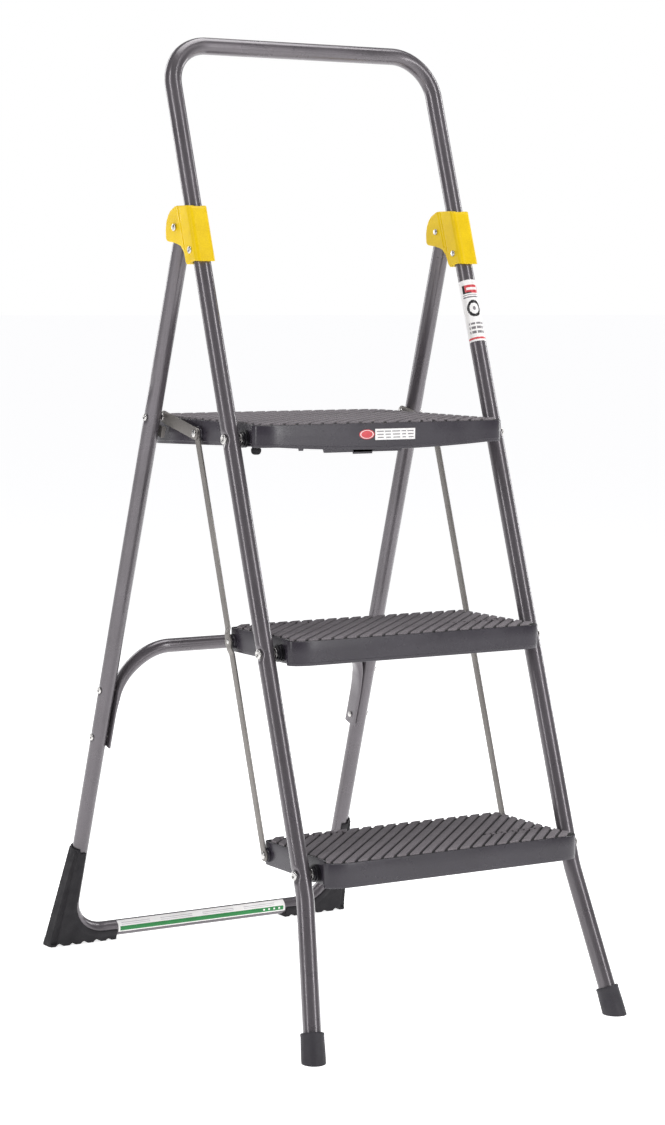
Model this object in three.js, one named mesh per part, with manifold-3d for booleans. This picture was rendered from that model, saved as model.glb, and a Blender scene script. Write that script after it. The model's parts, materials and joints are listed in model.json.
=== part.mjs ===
// Folding three-step stool: a bent front frame with a handle hoop, a rear frame hinged to it,
// three moulded steps on pivots, and flat link bars that fold everything together.
// Millimetres, +X to the sitter's right seen from the front, +Y to the back, +Z up.
import * as THREE from 'three';
import { mergeVertices } from 'three/addons/utils/BufferGeometryUtils.js';
import Module from 'manifold-3d';

const wasm = await Module();
wasm.setup();

// Overall sizes
const stoolHeight = 1243;
const platformHeight = 753.6;
const stepRise = 260;
const railSpacing = 400;
const frontFootOut = 25;
const rearCornerOut = 14.6;
const railLean = THREE.MathUtils.degToRad(18.73);
const rearLean = THREE.MathUtils.degToRad(17.98);

// Tubes
const railOd = 22.2;
const tubeWall = 1.3;
const cornerBend = 57;
const footFlareHeight = 185;
const footFlareBend = 150;
const braceOd = 19;
const braceBend = 60;
const braceRoundTurn = THREE.MathUtils.degToRad(60);
const braceHeight = 433.5;
const braceTabThickness = 3.6;
const braceTabWidth = 24;
const braceTabEnd = 296;
const braceDrain = 2.5;
const braceRivetHeights = [376, 309];

// Hinge between the frames
const hingeHeight = 997.1;
const hingeSetback = 30.8;
const legBeyondHinge = 10;
const bracketOuterCheek = 3.3;
const bracketInnerCheek = 1.6;
const bracketAbove = 27.4;
const bracketBelow = 45.6;
const bracketLobe = 27;
const bracketFrontWall = 3.6;
const bracketRivetDrop = 41;

// Steps
const deckAbovePivot = 21.2;
const skirtHeight = 33.2;
const platformFrontSkirt = 31.5;
const platformRearSkirt = 39.5;
const stepWall = 2.8;
const deckThickness = 4.6;
const stepFrontReach = 46;
const stepBehindLink = 10;
const platformRearReach = 258;
const stepSideGap = 10.4;
const stepFlareOut = 8.5;
const stepCornerWidth = 37;
const flareStart = -19;
const flareEnd = -30;
const stepRearCorner = 7;
const platformRearCorner = 30;
const stiffenerThickness = 2.5;
const stiffenerHeight = 16;
const stiffenerX = [-90, 0, 90];
const stiffenerBehindPivot = 28;
const stiffenerFromRear = 62;
const bossWall = 6;
const bossInside = 7;

// Link bars and spreaders
const linkReach = 118;
const linkAbovePivot = 1.4;
const spreaderWidth = 16;
const linkWidth = 11;
const linkEye = 7.5;
const barThickness = 2.5;
const linkStandOff = 3.8;
const stepFold = THREE.MathUtils.degToRad(61);
const rearFold = THREE.MathUtils.degToRad(35.6);
const stopTabGap = 3.47;
const stopTabLength = 20;
const stopTabHeight = 15;
const stopTabDepth = 5.6;
const stopTabSheet = 1.6;

// Fasteners and small pieces
const pivotShank = 4;
const linkShank = 3.1;
const hingeShank = 3.2;
const pivotHead = 6.2;
const smallHead = 4.9;
const headHeight = 2.4;
const tailHeight = 2.2;
const plugInside = 1.5;
const spacerRadius = 11;
const washerRadius = 7.2;
const washerThickness = 1.6;
const frontFootWall = 3.6;
const frontFootLength = 36;
const footEdge = 1.5;
const soleThickness = 6;
const bootWall = 2.6;
const soleBelowTube = 4.4;
const bootHeight = 148;
const bootAlongFloor = 75.6;
const bootToeOut = 28;
const bootWrap = 3;
const bootTopStep = 6;
const bumperRadius = 6.5;
const bumperHeight = 9;
const bumperStem = 2.5;
const bumperSocket = 10;
const bumperFromSide = 8;
const bumperY = -12;
const bumperSide = -1;

// Clearances
const clearance = 0.3;
const runningGap = 0.6;
const holeClearance = 0.3;

// How far a cutting shape runs past what it cuts, and a joining shape into what it joins
const cutPast = 5;
const joinPast = 1;

// Facets
const outerSides = 14;
const innerSides = 8;
const roundSides = 10;
const ringStep = THREE.MathUtils.degToRad(18);

// Positions worked out from the sizes above, with the front foot centres at y = 0
const railX = railSpacing / 2;
const railRadius = railOd / 2;
const railInner = railX - railRadius;
const railOuter = railX + railRadius;
const stepRearHalfWidth = railInner - stepSideGap;
const stepFrontHalfWidth = stepRearHalfWidth + stepFlareOut;
const stepRearReach = linkReach + stepBehindLink;
const railAt = (height) => height / Math.cos(railLean);
const pivotHeights = [0, 1, 2].map((row) => platformHeight - deckAbovePivot - row * stepRise);
const hingeAlongRail = railAt(hingeHeight + hingeSetback * Math.sin(railLean));
const hingeY = hingeAlongRail * Math.sin(railLean) + hingeSetback * Math.cos(railLean);
const crossbarAlongLeg = (hingeHeight - railRadius - soleBelowTube) / Math.cos(rearLean);
const legAt = (height) => (hingeHeight - height) / Math.cos(rearLean);
const legSplay = rearCornerOut / crossbarAlongLeg;
const legX = (drop) => railX + drop * legSplay;
const linkInner = stepRearHalfWidth + linkStandOff;
const spreaderInner = linkInner + barThickness + clearance;

const finishes = {
  greyPaint: { color: 0x7a7576, roughness: 0.38, metalness: 0.35 },
  greyBar: { color: 0x8a8580, roughness: 0.45, metalness: 0.35 },
  charcoalPlastic: { color: 0x3d3a42, roughness: 0.42, metalness: 0 },
  yellowPlastic: { color: 0xf8d70f, roughness: 0.4, metalness: 0 },
  blackRubber: { color: 0x2d2b30, roughness: 0.8, metalness: 0 },
  blackNylon: { color: 0x202024, roughness: 0.5, metalness: 0 },
  zinc: { color: 0xc9c9cc, roughness: 0.28, metalness: 0.9 },
};

function piece(name, geometry, finish) {
  const mesh = new THREE.Mesh(geometry, new THREE.MeshStandardMaterial(finishes[finish]));
  mesh.name = name;
  return mesh;
}

// Solids and booleans

function solidOf(geometry) {
  const bare = geometry.clone();
  bare.deleteAttribute('normal');
  bare.deleteAttribute('uv');
  const merged = mergeVertices(bare, 1e-4);
  const source = merged.index.array;
  const kept = [];
  for (let i = 0; i < source.length; i += 3) {
    const [a, b, c] = source.slice(i, i + 3);
    if (a !== b && b !== c && c !== a) {
      kept.push(a, b, c);
    }
  }
  return new wasm.Manifold(new wasm.Mesh({
    numProp: 3,
    vertProperties: new Float32Array(merged.attributes.position.array),
    triVerts: new Uint32Array(kept),
  }));
}

function geometryOf(solid) {
  const mesh = solid.getMesh();
  const geometry = new THREE.BufferGeometry();
  geometry.setAttribute('position', new THREE.BufferAttribute(new Float32Array(mesh.vertProperties), 3));
  geometry.setIndex(new THREE.BufferAttribute(new Uint32Array(mesh.triVerts), 1));
  return geometry;
}

function carve(geometry, cuts, additions = []) {
  let solid = solidOf(geometry);
  for (const addition of additions) {
    solid = solid.add(solidOf(addition));
  }
  for (const cut of cuts) {
    solid = solid.subtract(solidOf(cut));
  }
  return geometryOf(solid);
}

function mirrored(geometry) {
  const copy = geometry.index ? geometry.clone() : mergeVertices(geometry.clone(), 1e-4);
  copy.scale(-1, 1, 1);
  const index = copy.index.array;
  for (let i = 0; i < index.length; i += 3) {
    const first = index[i];
    index[i] = index[i + 2];
    index[i + 2] = first;
  }
  return copy;
}

// A cylinder along X between two places
function axleShape(from, to, radius, y = 0, z = 0, sides = roundSides) {
  const shape = new THREE.CylinderGeometry(radius, radius, Math.abs(to - from), sides);
  shape.rotateZ(Math.PI / 2);
  shape.translate((from + to) / 2, y, z);
  return shape;
}

function block(x, y, z) {
  const shape = new THREE.BoxGeometry(x[1] - x[0], y[1] - y[0], z[1] - z[0]);
  shape.translate((x[0] + x[1]) / 2, (y[0] + y[1]) / 2, (z[0] + z[1]) / 2);
  return shape;
}

// A profile of [radius, place along X] turned about X, starting and ending on the axis
function turned(profile, side = 1, sides = roundSides) {
  const points = profile.map(([radius, along]) => new THREE.Vector2(radius, along));
  const shape = new THREE.LatheGeometry(points, sides);
  shape.rotateZ(-side * Math.PI / 2);
  return shape;
}

function plainExtrusion(depth, curveSegments) {
  return { depth, bevelEnabled: false, curveSegments };
}

// A side outline of [y, z] points, thick along X
function sidePlate(outline, from, to) {
  const shape = new THREE.ExtrudeGeometry(outline, plainExtrusion(to - from, 6));
  shape.rotateX(Math.PI / 2);
  shape.rotateZ(Math.PI / 2);
  shape.translate(from, 0, 0);
  return shape;
}

// Tubes: straight runs joined by bends, with a ring of points only where the tube turns

class BentPath extends THREE.Curve {
  constructor(stations) {
    super();
    this.stations = stations;
  }

  stationAt(share) {
    return this.stations[Math.round(share * (this.stations.length - 1))];
  }

  getPoint(share) {
    return this.stationAt(share).point.clone();
  }

  getPointAt(share) {
    return this.getPoint(share);
  }

  getTangentAt(share) {
    return this.stationAt(share).heading.clone();
  }
}

function bentStations(corners, bends) {
  const stations = [];
  const headings = corners.slice(1).map((corner, i) => corner.clone().sub(corners[i]).normalize());
  stations.push({ point: corners[0].clone(), heading: headings[0] });
  for (let i = 1; i < corners.length - 1; i += 1) {
    const before = headings[i - 1];
    const after = headings[i];
    const turn = before.angleTo(after);
    const radius = bends[i - 1];
    const across = after.clone().addScaledVector(before, -after.dot(before)).normalize();
    const start = corners[i].clone().addScaledVector(before, -radius * Math.tan(turn / 2));
    const steps = Math.max(2, Math.ceil(turn / ringStep));
    for (let step = 0; step <= steps; step += 1) {
      const angle = turn * step / steps;
      const point = start.clone().addScaledVector(before, radius * Math.sin(angle));
      point.addScaledVector(across, radius * (1 - Math.cos(angle)));
      const heading = before.clone().multiplyScalar(Math.cos(angle));
      heading.addScaledVector(across, Math.sin(angle));
      stations.push({ point, heading });
    }
  }
  stations.push({ point: corners.at(-1).clone(), heading: headings.at(-1) });
  return stations;
}

function roundPoints(radius, sides) {
  return Array.from({ length: sides }, (_, i) => {
    const angle = 2 * Math.PI * i / sides;
    return new THREE.Vector2(radius * Math.cos(angle), radius * Math.sin(angle));
  });
}

function bentTube(corners, bends, radius, bore = 0) {
  const section = new THREE.Shape(roundPoints(radius, outerSides));
  if (bore > 0) {
    section.holes.push(new THREE.Path(roundPoints(bore, innerSides)));
  }
  const stations = bentStations(corners, bends);
  return new THREE.ExtrudeGeometry(section, {
    steps: stations.length - 1,
    extrudePath: new BentPath(stations),
  });
}

// Everything below the floor, seen from inside a turned group
function underFloor(group) {
  group.updateMatrixWorld(true);
  const slab = block([-railSpacing, railSpacing], [-stoolHeight, stoolHeight], [-stepRise, 0]);
  slab.applyMatrix4(group.matrixWorld.clone().invert());
  return slab;
}

// Groups: the rail group runs along the front rails, the leg group hangs from the hinge

const stool = new THREE.Group();
const railGroup = new THREE.Group();
railGroup.rotation.x = -railLean;
const legGroup = new THREE.Group();
legGroup.position.set(0, hingeY, hingeHeight);
legGroup.rotation.x = rearLean;
stool.add(railGroup, legGroup);

function flareX(height) {
  return railX + frontFootOut * Math.max(0, 1 - height / footFlareHeight);
}

function railCorners() {
  const topBar = railAt(stoolHeight - railRadius);
  const tubeEnd = soleThickness;
  const side = [
    new THREE.Vector3(flareX(tubeEnd), 0, railAt(tubeEnd)),
    new THREE.Vector3(railX, 0, railAt(footFlareHeight)),
    new THREE.Vector3(railX, 0, topBar),
  ];
  const other = side.map((corner) => new THREE.Vector3(-corner.x, 0, corner.z)).reverse();
  return [...side, ...other];
}

const railBends = [footFlareBend, cornerBend, cornerBend, footFlareBend];
const bracketRivetAlong = hingeAlongRail - bracketRivetDrop;

function frontFrameTube() {
  const holes = [];
  const cutFrom = railInner - cutPast;
  const cutTo = railOuter + cutPast;
  for (const side of [-1, 1]) {
    for (const height of pivotHeights) {
      const radius = pivotShank + holeClearance;
      holes.push(axleShape(side * cutFrom, side * cutTo, radius, 0, railAt(height)));
    }
    const radius = hingeShank + holeClearance;
    holes.push(axleShape(side * cutFrom, side * cutTo, radius, 0, bracketRivetAlong));
  }
  return carve(bentTube(railCorners(), railBends, railRadius, railRadius - tubeWall), holes);
}

function frontFoot() {
  const start = new THREE.Vector3(flareX(0), 0, 0);
  const end = new THREE.Vector3(railX, 0, railAt(footFlareHeight));
  const heading = end.sub(start).normalize();
  const radius = railRadius + clearance + frontFootWall;
  const belowFloor = -cutPast - joinPast;
  const profile = [
    [0, belowFloor],
    [radius, belowFloor],
    [radius, frontFootLength - footEdge],
    [radius - footEdge, frontFootLength],
    [0, frontFootLength],
  ];
  const cap = new THREE.LatheGeometry(profile.map(([r, along]) => new THREE.Vector2(r, along)), outerSides);
  const bore = railRadius + clearance;
  const seat = new THREE.CylinderGeometry(bore, bore, 2 * frontFootLength, outerSides);
  seat.translate(0, frontFootLength, 0);
  const turn = new THREE.Quaternion().setFromUnitVectors(new THREE.Vector3(0, 1, 0), heading);
  const rise = railAt(soleThickness) - clearance;
  for (const shape of [cap, seat]) {
    shape.applyQuaternion(turn);
    shape.translate(flareX(0), 0, 0);
  }
  seat.translate(heading.x * rise, 0, heading.z * rise);
  return carve(cap, [seat, underFloor(railGroup)]);
}

// The bracket's side outline: a sleeve round the rail with level ends, and a lobe over the hinge
function bracketOutline() {
  const front = -(railRadius + bracketFrontWall);
  const back = railRadius + bracketFrontWall;
  const level = (height, y) => (height + y * Math.sin(railLean)) / Math.cos(railLean);
  const top = hingeHeight + bracketAbove;
  const bottom = hingeHeight - bracketBelow;
  const outline = new THREE.Shape();
  const corner = 4;
  const from = (y, z) => [hingeSetback + y, hingeAlongRail + z];
  outline.moveTo(front, level(bottom + corner, front));
  outline.lineTo(0, level(bottom, 0));
  outline.lineTo(back, level(bottom, back));
  outline.lineTo(back + 2, hingeAlongRail - 44);
  outline.quadraticCurveTo(back + corner, hingeAlongRail - 25, ...from(10, -17));
  outline.lineTo(...from(bracketLobe - corner, -12));
  outline.quadraticCurveTo(...from(bracketLobe + 2, -11), ...from(bracketLobe, -4));
  outline.lineTo(...from(bracketLobe - corner, 8));
  outline.quadraticCurveTo(...from(bracketLobe - 9, 20), ...from(0, 25));
  outline.lineTo(...from(-11, level(top, 20) - hingeAlongRail));
  outline.lineTo(front + corner, level(top, front + corner));
  outline.quadraticCurveTo(front, level(top, front), front, level(top, front) - corner);
  return outline;
}

// The room that the leg's end sweeps inside the bracket
function legPocket() {
  const reach = Math.hypot(legBeyondHinge, railRadius) + clearance;
  const half = railRadius + runningGap;
  const opened = railLean + rearLean;
  const outline = new THREE.Shape();
  const down = 2 * bracketBelow;
  outline.absarc(hingeSetback, hingeAlongRail, reach, opened - Math.acos(half / reach), Math.PI, false);
  outline.lineTo(hingeSetback - reach, hingeAlongRail - 4);
  outline.lineTo(hingeSetback - half, hingeAlongRail - 12);
  outline.lineTo(hingeSetback - half, hingeAlongRail - down);
  outline.lineTo(hingeSetback + down, hingeAlongRail - down);
  const edgeY = hingeSetback + half * Math.cos(opened);
  const edgeZ = hingeAlongRail + half * Math.sin(opened);
  outline.lineTo(edgeY + down * Math.sin(opened), edgeZ - down * Math.cos(opened));
  return sidePlate(outline, railInner - runningGap, railOuter + runningGap);
}

function hingeBracket() {
  const inner = railInner - runningGap - bracketInnerCheek;
  const outer = railOuter + runningGap + bracketOuterCheek;
  const body = sidePlate(bracketOutline(), inner, outer);
  const length = 4 * bracketBelow;
  const boreRadius = railRadius + clearance;
  const bore = new THREE.CylinderGeometry(boreRadius, boreRadius, length, outerSides);
  bore.rotateX(Math.PI / 2);
  bore.translate(railX, 0, hingeAlongRail);
  const radius = hingeShank + holeClearance;
  const cuts = [
    bore,
    legPocket(),
    axleShape(inner - cutPast, outer + cutPast, radius, hingeSetback, hingeAlongRail),
    axleShape(inner - cutPast, outer + cutPast, radius, 0, bracketRivetAlong),
  ];
  return carve(body, cuts);
}

// A rivet with a domed head at its far end and a flat tail at its near end
function rivet(from, to, shank, head, side, sides = roundSides) {
  const profile = [
    [0, from - tailHeight],
    [head * 0.85, from - tailHeight],
    [head * 0.85, from - clearance],
    [shank, from - clearance],
    [shank, to + clearance],
    [head, to + clearance],
    [head * 0.7, to + clearance + headHeight * 0.8],
    [0, to + clearance + headHeight],
  ];
  return turned(profile, side, sides);
}

function ring(from, to, radius, bore, side) {
  const profile = [[bore, from], [radius, from], [radius, to], [bore, to], [bore, from]];
  return turned(profile, side);
}

// Steps

function stepOutline(rearReach, rearCorner, inset = 0) {
  const rear = stepRearHalfWidth - inset;
  const front = stepFrontHalfWidth - inset;
  const frontY = -stepFrontReach + inset;
  const rearY = rearReach - inset;
  const corner = Math.max(1, rearCorner - inset);
  const half = [
    (outline, side) => outline.lineTo(side * (front - stepCornerWidth), frontY),
    (outline, side) => outline.quadraticCurveTo(side * front, frontY, side * front, flareEnd),
    (outline, side) => outline.bezierCurveTo(
      side * front, (flareStart + flareEnd) / 2,
      side * rear, (flareStart + flareEnd) / 2,
      side * rear, flareStart + inset),
    (outline, side) => outline.lineTo(side * rear, rearY - corner),
    (outline, side) => outline.quadraticCurveTo(side * rear, rearY, side * (rear - corner), rearY),
  ];
  const outline = new THREE.Shape();
  outline.moveTo(0, frontY);
  for (const draw of half) {
    draw(outline, 1);
  }
  outline.lineTo(-(rear - corner), rearY);
  outline.quadraticCurveTo(-rear, rearY, -rear, rearY - corner);
  outline.lineTo(-rear, flareStart + inset);
  outline.bezierCurveTo(
    -rear, (flareStart + flareEnd) / 2,
    -front, (flareStart + flareEnd) / 2,
    -front, flareEnd);
  outline.quadraticCurveTo(-front, frontY, -(front - stepCornerWidth), frontY);
  outline.lineTo(0, frontY);
  return outline;
}

function extruded(outline, from, to) {
  const shape = new THREE.ExtrudeGeometry(outline, plainExtrusion(to - from, 5));
  shape.translate(0, 0, from);
  return shape;
}

const bumperX = stepRearHalfWidth - bumperFromSide;

// What is cut away below a skirt whose lower edge slopes down to the back
function skirtSlope(frontBottom, rearBottom, rearReach) {
  const from = -2 * stepFrontReach;
  const to = rearReach + stepFrontReach;
  const slope = (rearBottom - frontBottom) / rearReach;
  const outline = new THREE.Shape();
  outline.moveTo(from, frontBottom);
  outline.lineTo(0, frontBottom);
  outline.lineTo(to, frontBottom + to * slope);
  outline.lineTo(to, rearBottom - skirtHeight);
  outline.lineTo(from, rearBottom - skirtHeight);
  const reach = stepFrontHalfWidth + cutPast;
  return sidePlate(outline, -reach, reach);
}

function mouldedStep(rearReach, rearCorner, skirt, rearSkirt, withBumpers) {
  const top = deckAbovePivot;
  const bottom = top - skirt;
  const lowest = top - rearSkirt;
  const deckUnder = top - deckThickness;
  const shell = extruded(stepOutline(rearReach, rearCorner), lowest, top);
  const hollow = extruded(stepOutline(rearReach, rearCorner, stepWall), lowest - cutPast, deckUnder);
  const additions = [];
  const cuts = [];
  const half = stiffenerThickness / 2;
  const ribBottom = deckUnder - stiffenerHeight;
  const ribTop = deckUnder + joinPast;
  const across = stepRearHalfWidth - joinPast;
  for (const y of [stiffenerBehindPivot, rearReach - stiffenerFromRear]) {
    additions.push(block([-across, across], [y - half, y + half], [ribBottom, ribTop]));
  }
  for (const x of stiffenerX) {
    const lengthwise = [joinPast - stepFrontReach, rearReach - joinPast];
    additions.push(block([x - half, x + half], lengthwise, [ribBottom, ribTop]));
  }
  for (const side of [-1, 1]) {
    const wallInside = side * (stepRearHalfWidth - stepWall - bossInside);
    const wallOutside = side * (stepRearHalfWidth - clearance);
    const bossOutside = side * (linkInner - clearance);
    additions.push(axleShape(wallInside, wallOutside, pivotShank + bossWall));
    additions.push(axleShape(wallInside, bossOutside, linkShank + bossWall, linkReach, linkAbovePivot));
    const far = side * (railInner + cutPast);
    const near = side * (stepRearHalfWidth - stepWall - bossInside - cutPast);
    cuts.push(axleShape(near, far, pivotShank + holeClearance));
    cuts.push(axleShape(near, far, linkShank + holeClearance, linkReach, linkAbovePivot));
    if (withBumpers && side === bumperSide) {
      const postHeight = ribTop - bottom;
      const post = new THREE.CylinderGeometry(bumperRadius, bumperRadius, postHeight, roundSides);
      post.rotateX(Math.PI / 2);
      post.translate(side * bumperX, bumperY, bottom + postHeight / 2);
      additions.push(post);
      const bore = bumperStem + clearance;
      const socket = new THREE.CylinderGeometry(bore, bore, 2 * bumperSocket, roundSides);
      socket.rotateX(Math.PI / 2);
      socket.translate(side * bumperX, bumperY, bottom);
      cuts.push(socket);
    }
  }
  const skirtCuts = rearSkirt > skirt ? [skirtSlope(bottom, lowest, rearReach)] : [];
  const open = carve(shell, [hollow, ...skirtCuts]);
  return carve(open, cuts, additions);
}

function bumper() {
  const profile = [
    [0, -bumperHeight],
    [bumperRadius - 3, -bumperHeight],
    [bumperRadius - 0.8, -bumperHeight + 2],
    [bumperRadius, -bumperHeight / 2],
    [bumperRadius, -clearance],
    [bumperStem, -clearance],
    [bumperStem, bumperSocket - joinPast],
    [0, bumperSocket - joinPast],
  ];
  const shape = new THREE.LatheGeometry(profile.map(([r, z]) => new THREE.Vector2(r, z)), roundSides);
  shape.rotateX(Math.PI / 2);
  return shape;
}

// Flat bars with round ends and a hole at each pivot, in side view

function flatBar(pivots, width, eye, inner) {
  const from = pivots[0];
  const to = pivots.at(-1);
  const along = Math.atan2(to.y - from.y, to.x - from.x);
  const across = new THREE.Vector2(-Math.sin(along), Math.cos(along)).multiplyScalar(width / 2);
  const strip = new THREE.Shape([
    from.clone().sub(across),
    to.clone().sub(across),
    to.clone().add(across),
    from.clone().add(across),
  ]);
  const eyes = [];
  const holes = [];
  for (const pivot of pivots) {
    eyes.push(axleShape(inner, inner + barThickness, eye, pivot.x, pivot.y));
    const radius = linkShank + holeClearance;
    holes.push(axleShape(inner - cutPast, inner + barThickness + cutPast, radius, pivot.x, pivot.y));
  }
  return carve(sidePlate(strip, inner, inner + barThickness), holes, eyes);
}

const stepPivots = pivotHeights.map((z) => new THREE.Vector2(z * Math.tan(railLean), z));
const linkOffset = new THREE.Vector2(linkReach, linkAbovePivot);
const linkPivots = stepPivots.map((pivot) => pivot.clone().add(linkOffset));
const kneePivot = linkPivots[0];

// The spreader's pivot down the rear leg, where one bar length closes both the open and the folded pose
function closingDrop() {
  const hinge = new THREE.Vector2(hingeY, hingeHeight);
  const openKnee = kneePivot.clone().sub(hinge);
  const foldedKnee = kneePivot.clone().rotateAround(stepPivots[0], stepFold).sub(hinge);
  const openLeg = new THREE.Vector2(Math.sin(rearLean), -Math.cos(rearLean));
  const foldedLeg = new THREE.Vector2(Math.sin(rearLean - rearFold), -Math.cos(rearLean - rearFold));
  return (openKnee.lengthSq() - foldedKnee.lengthSq())
    / (2 * (openLeg.dot(openKnee) - foldedLeg.dot(foldedKnee)));
}

const spreaderDrop = closingDrop();
const legPivot = new THREE.Vector2(
  hingeY + spreaderDrop * Math.sin(rearLean),
  hingeHeight - spreaderDrop * Math.cos(rearLean));

function linkBar() {
  return flatBar(linkPivots, linkWidth, linkEye, linkInner);
}

function spreader() {
  return flatBar([kneePivot, legPivot], spreaderWidth, spreaderWidth / 2, spreaderInner);
}

// Rear frame

function rearFrameTube() {
  const corner = crossbarAlongLeg;
  const side = [
    new THREE.Vector3(legX(-legBeyondHinge), 0, legBeyondHinge),
    new THREE.Vector3(legX(corner), 0, -corner),
  ];
  const other = side.map((point) => new THREE.Vector3(-point.x, 0, point.z)).reverse();
  const tube = bentTube([...side, ...other], [cornerBend, cornerBend], railRadius, railRadius - tubeWall);
  const holes = [];
  for (const side of [-1, 1]) {
    for (const [drop, shank] of legHoles()) {
      const x = legX(drop);
      const near = side * (x - railRadius - cutPast);
      const far = side * (x + railRadius + cutPast);
      holes.push(axleShape(near, far, shank + holeClearance, 0, -drop));
    }
  }
  return carve(tube, holes);
}

function legHoles() {
  return [
    [0, hingeShank],
    [spreaderDrop, linkShank],
    ...braceRivetHeights.map((height) => [legAt(height), linkShank]),
  ];
}

function tabX(drop) {
  return legX(drop) - railRadius - clearance - braceTabThickness;
}

// A bent tube whose ends are pressed flat and riveted against the legs
function rearBrace() {
  const top = legAt(braceHeight);
  const radius = braceOd / 2;
  const lowest = legAt(braceTabEnd);
  const face = (drop) => legX(drop) - railRadius - clearance;
  const bendStart = face(top + braceBend) - braceTabThickness / 2 - braceBend;
  const run = braceBend * Math.tan(braceRoundTurn / 2);
  const end = new THREE.Vector3(
    bendStart + run + run * Math.cos(braceRoundTurn), 0, -top - run * Math.sin(braceRoundTurn));
  const corner = new THREE.Vector3(bendStart + run, 0, -top);
  const otherSide = [corner, end].map((point) => new THREE.Vector3(-point.x, 0, point.z));
  const corners = [end, corner, ...otherSide];
  const tube = bentTube(corners, [braceBend, braceBend], radius, radius - tubeWall);
  const out = radius * Math.sin(braceRoundTurn);
  const up = radius * Math.cos(braceRoundTurn);
  const pressedFrom = legAt(braceRivetHeights[0]) - braceTabWidth / 2;
  const outline = new THREE.Shape();
  outline.moveTo(end.x - out + joinPast / 2, end.z - up + joinPast / 2);
  outline.quadraticCurveTo(
    face(pressedFrom) - braceTabThickness - joinPast, end.z - braceTabWidth / 2,
    face(pressedFrom) - braceTabThickness, -pressedFrom);
  outline.lineTo(face(lowest) - braceTabThickness, -lowest);
  outline.lineTo(face(lowest), -lowest);
  outline.lineTo(face(-end.z), end.z);
  outline.lineTo(end.x + out - joinPast, end.z + up + joinPast);
  const tab = new THREE.ExtrudeGeometry(outline, plainExtrusion(braceTabWidth, 4));
  tab.rotateX(Math.PI / 2);
  tab.translate(0, braceTabWidth / 2, 0);
  const drain = new THREE.CylinderGeometry(braceDrain, braceDrain, radius + cutPast, roundSides);
  drain.rotateX(Math.PI / 2);
  drain.translate(0, 0, -top - radius);
  const holes = [drain];
  for (const side of [-1, 1]) {
    for (const height of braceRivetHeights) {
      const drop = legAt(height);
      const near = side * (tabX(drop) - cutPast);
      const far = side * (tabX(drop) + braceTabThickness + cutPast);
      holes.push(axleShape(near, far, linkShank + holeClearance, 0, -drop));
    }
  }
  return carve(tube, holes, [tab, mirrored(tab)]);
}

// A rubber boot round the outside of the rear frame's corner, with a flat sole on the floor
function rearBoot() {
  const corner = crossbarAlongLeg;
  const floor = corner + 2 * railOd;
  const top = legAt(bootHeight);
  const half = railRadius + bootWall;
  const outline = new THREE.Shape();
  const toe = legX(corner) + bootToeOut;
  const innerEnd = legX(corner) - bootAlongFloor;
  outline.moveTo(legX(top) + half, -top);
  outline.lineTo(legX(top) - bootWrap, -top - bootTopStep);
  outline.lineTo(legX(corner - cornerBend) - bootWrap, -(corner - cornerBend));
  const inside = cornerBend - bootWrap;
  outline.absarc(legX(corner) - cornerBend, -(corner - cornerBend), inside, 0, -Math.PI / 2, true);
  outline.lineTo(innerEnd, -(corner - bootWrap));
  outline.lineTo(innerEnd, -floor);
  outline.lineTo(toe + bootWrap, -floor);
  outline.lineTo(toe, -corner - railRadius);
  const body = new THREE.ExtrudeGeometry(outline, plainExtrusion(2 * half, 6));
  body.rotateX(Math.PI / 2);
  body.translate(0, half, 0);
  const channelTop = top - 2 * railOd;
  const channel = bentTube([
    new THREE.Vector3(legX(channelTop), 0, -channelTop),
    new THREE.Vector3(legX(corner), 0, -corner),
    new THREE.Vector3(0, 0, -corner),
  ], [cornerBend], railRadius + clearance);
  return carve(body, [channel, underFloor(legGroup)]);
}

// How far below the spreader's pivot the stop tab's middle sits, so that it clears the sloping spreader
function stopTabDrop() {
  const along = kneePivot.clone().sub(legPivot).normalize();
  along.rotateAround(new THREE.Vector2(), -rearLean);
  const underside = (spreaderWidth / 2 + stopTabGap - along.y * stopTabLength / 2) / -along.x;
  return underside + stopTabHeight / 2;
}

// A small folded tab on the leg's inner face, just below the spreader's pivot
function stopTab() {
  const drop = spreaderDrop + stopTabDrop();
  const outer = legX(drop - stopTabHeight / 2) - railRadius - clearance;
  const inner = outer - stopTabDepth;
  const half = stopTabLength / 2;
  const z = [-drop - stopTabHeight / 2, -drop + stopTabHeight / 2];
  const hollow = block(
    [inner - cutPast, outer - stopTabSheet],
    [stopTabSheet - half, half - stopTabSheet],
    [z[0] - cutPast, z[1] + cutPast]);
  return carve(block([inner, outer], [-half, half], z), [hollow]);
}

// Assembly

function addFrontFrame() {
  railGroup.add(piece('front_frame_tube', frontFrameTube(), 'greyPaint'));
  const inner = railInner - runningGap - bracketInnerCheek;
  const outer = railOuter + runningGap + bracketOuterCheek;
  for (const [word, side] of [['left', -1], ['right', 1]]) {
    const handed = (geometry) => (side > 0 ? geometry : mirrored(geometry));
    railGroup.add(piece(`front_foot_${word}`, handed(frontFoot()), 'blackRubber'));
    railGroup.add(piece(`hinge_bracket_${word}`, handed(hingeBracket()), 'yellowPlastic'));
    const hinge = piece(`hinge_rivet_${word}`, rivet(inner, outer, hingeShank, smallHead, side), 'zinc');
    hinge.position.set(0, hingeSetback, hingeAlongRail);
    const fixing = piece(`bracket_rivet_${word}`, rivet(inner, outer, hingeShank, smallHead, side), 'zinc');
    fixing.position.set(0, 0, bracketRivetAlong);
    railGroup.add(hinge, fixing);
  }
}

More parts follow.
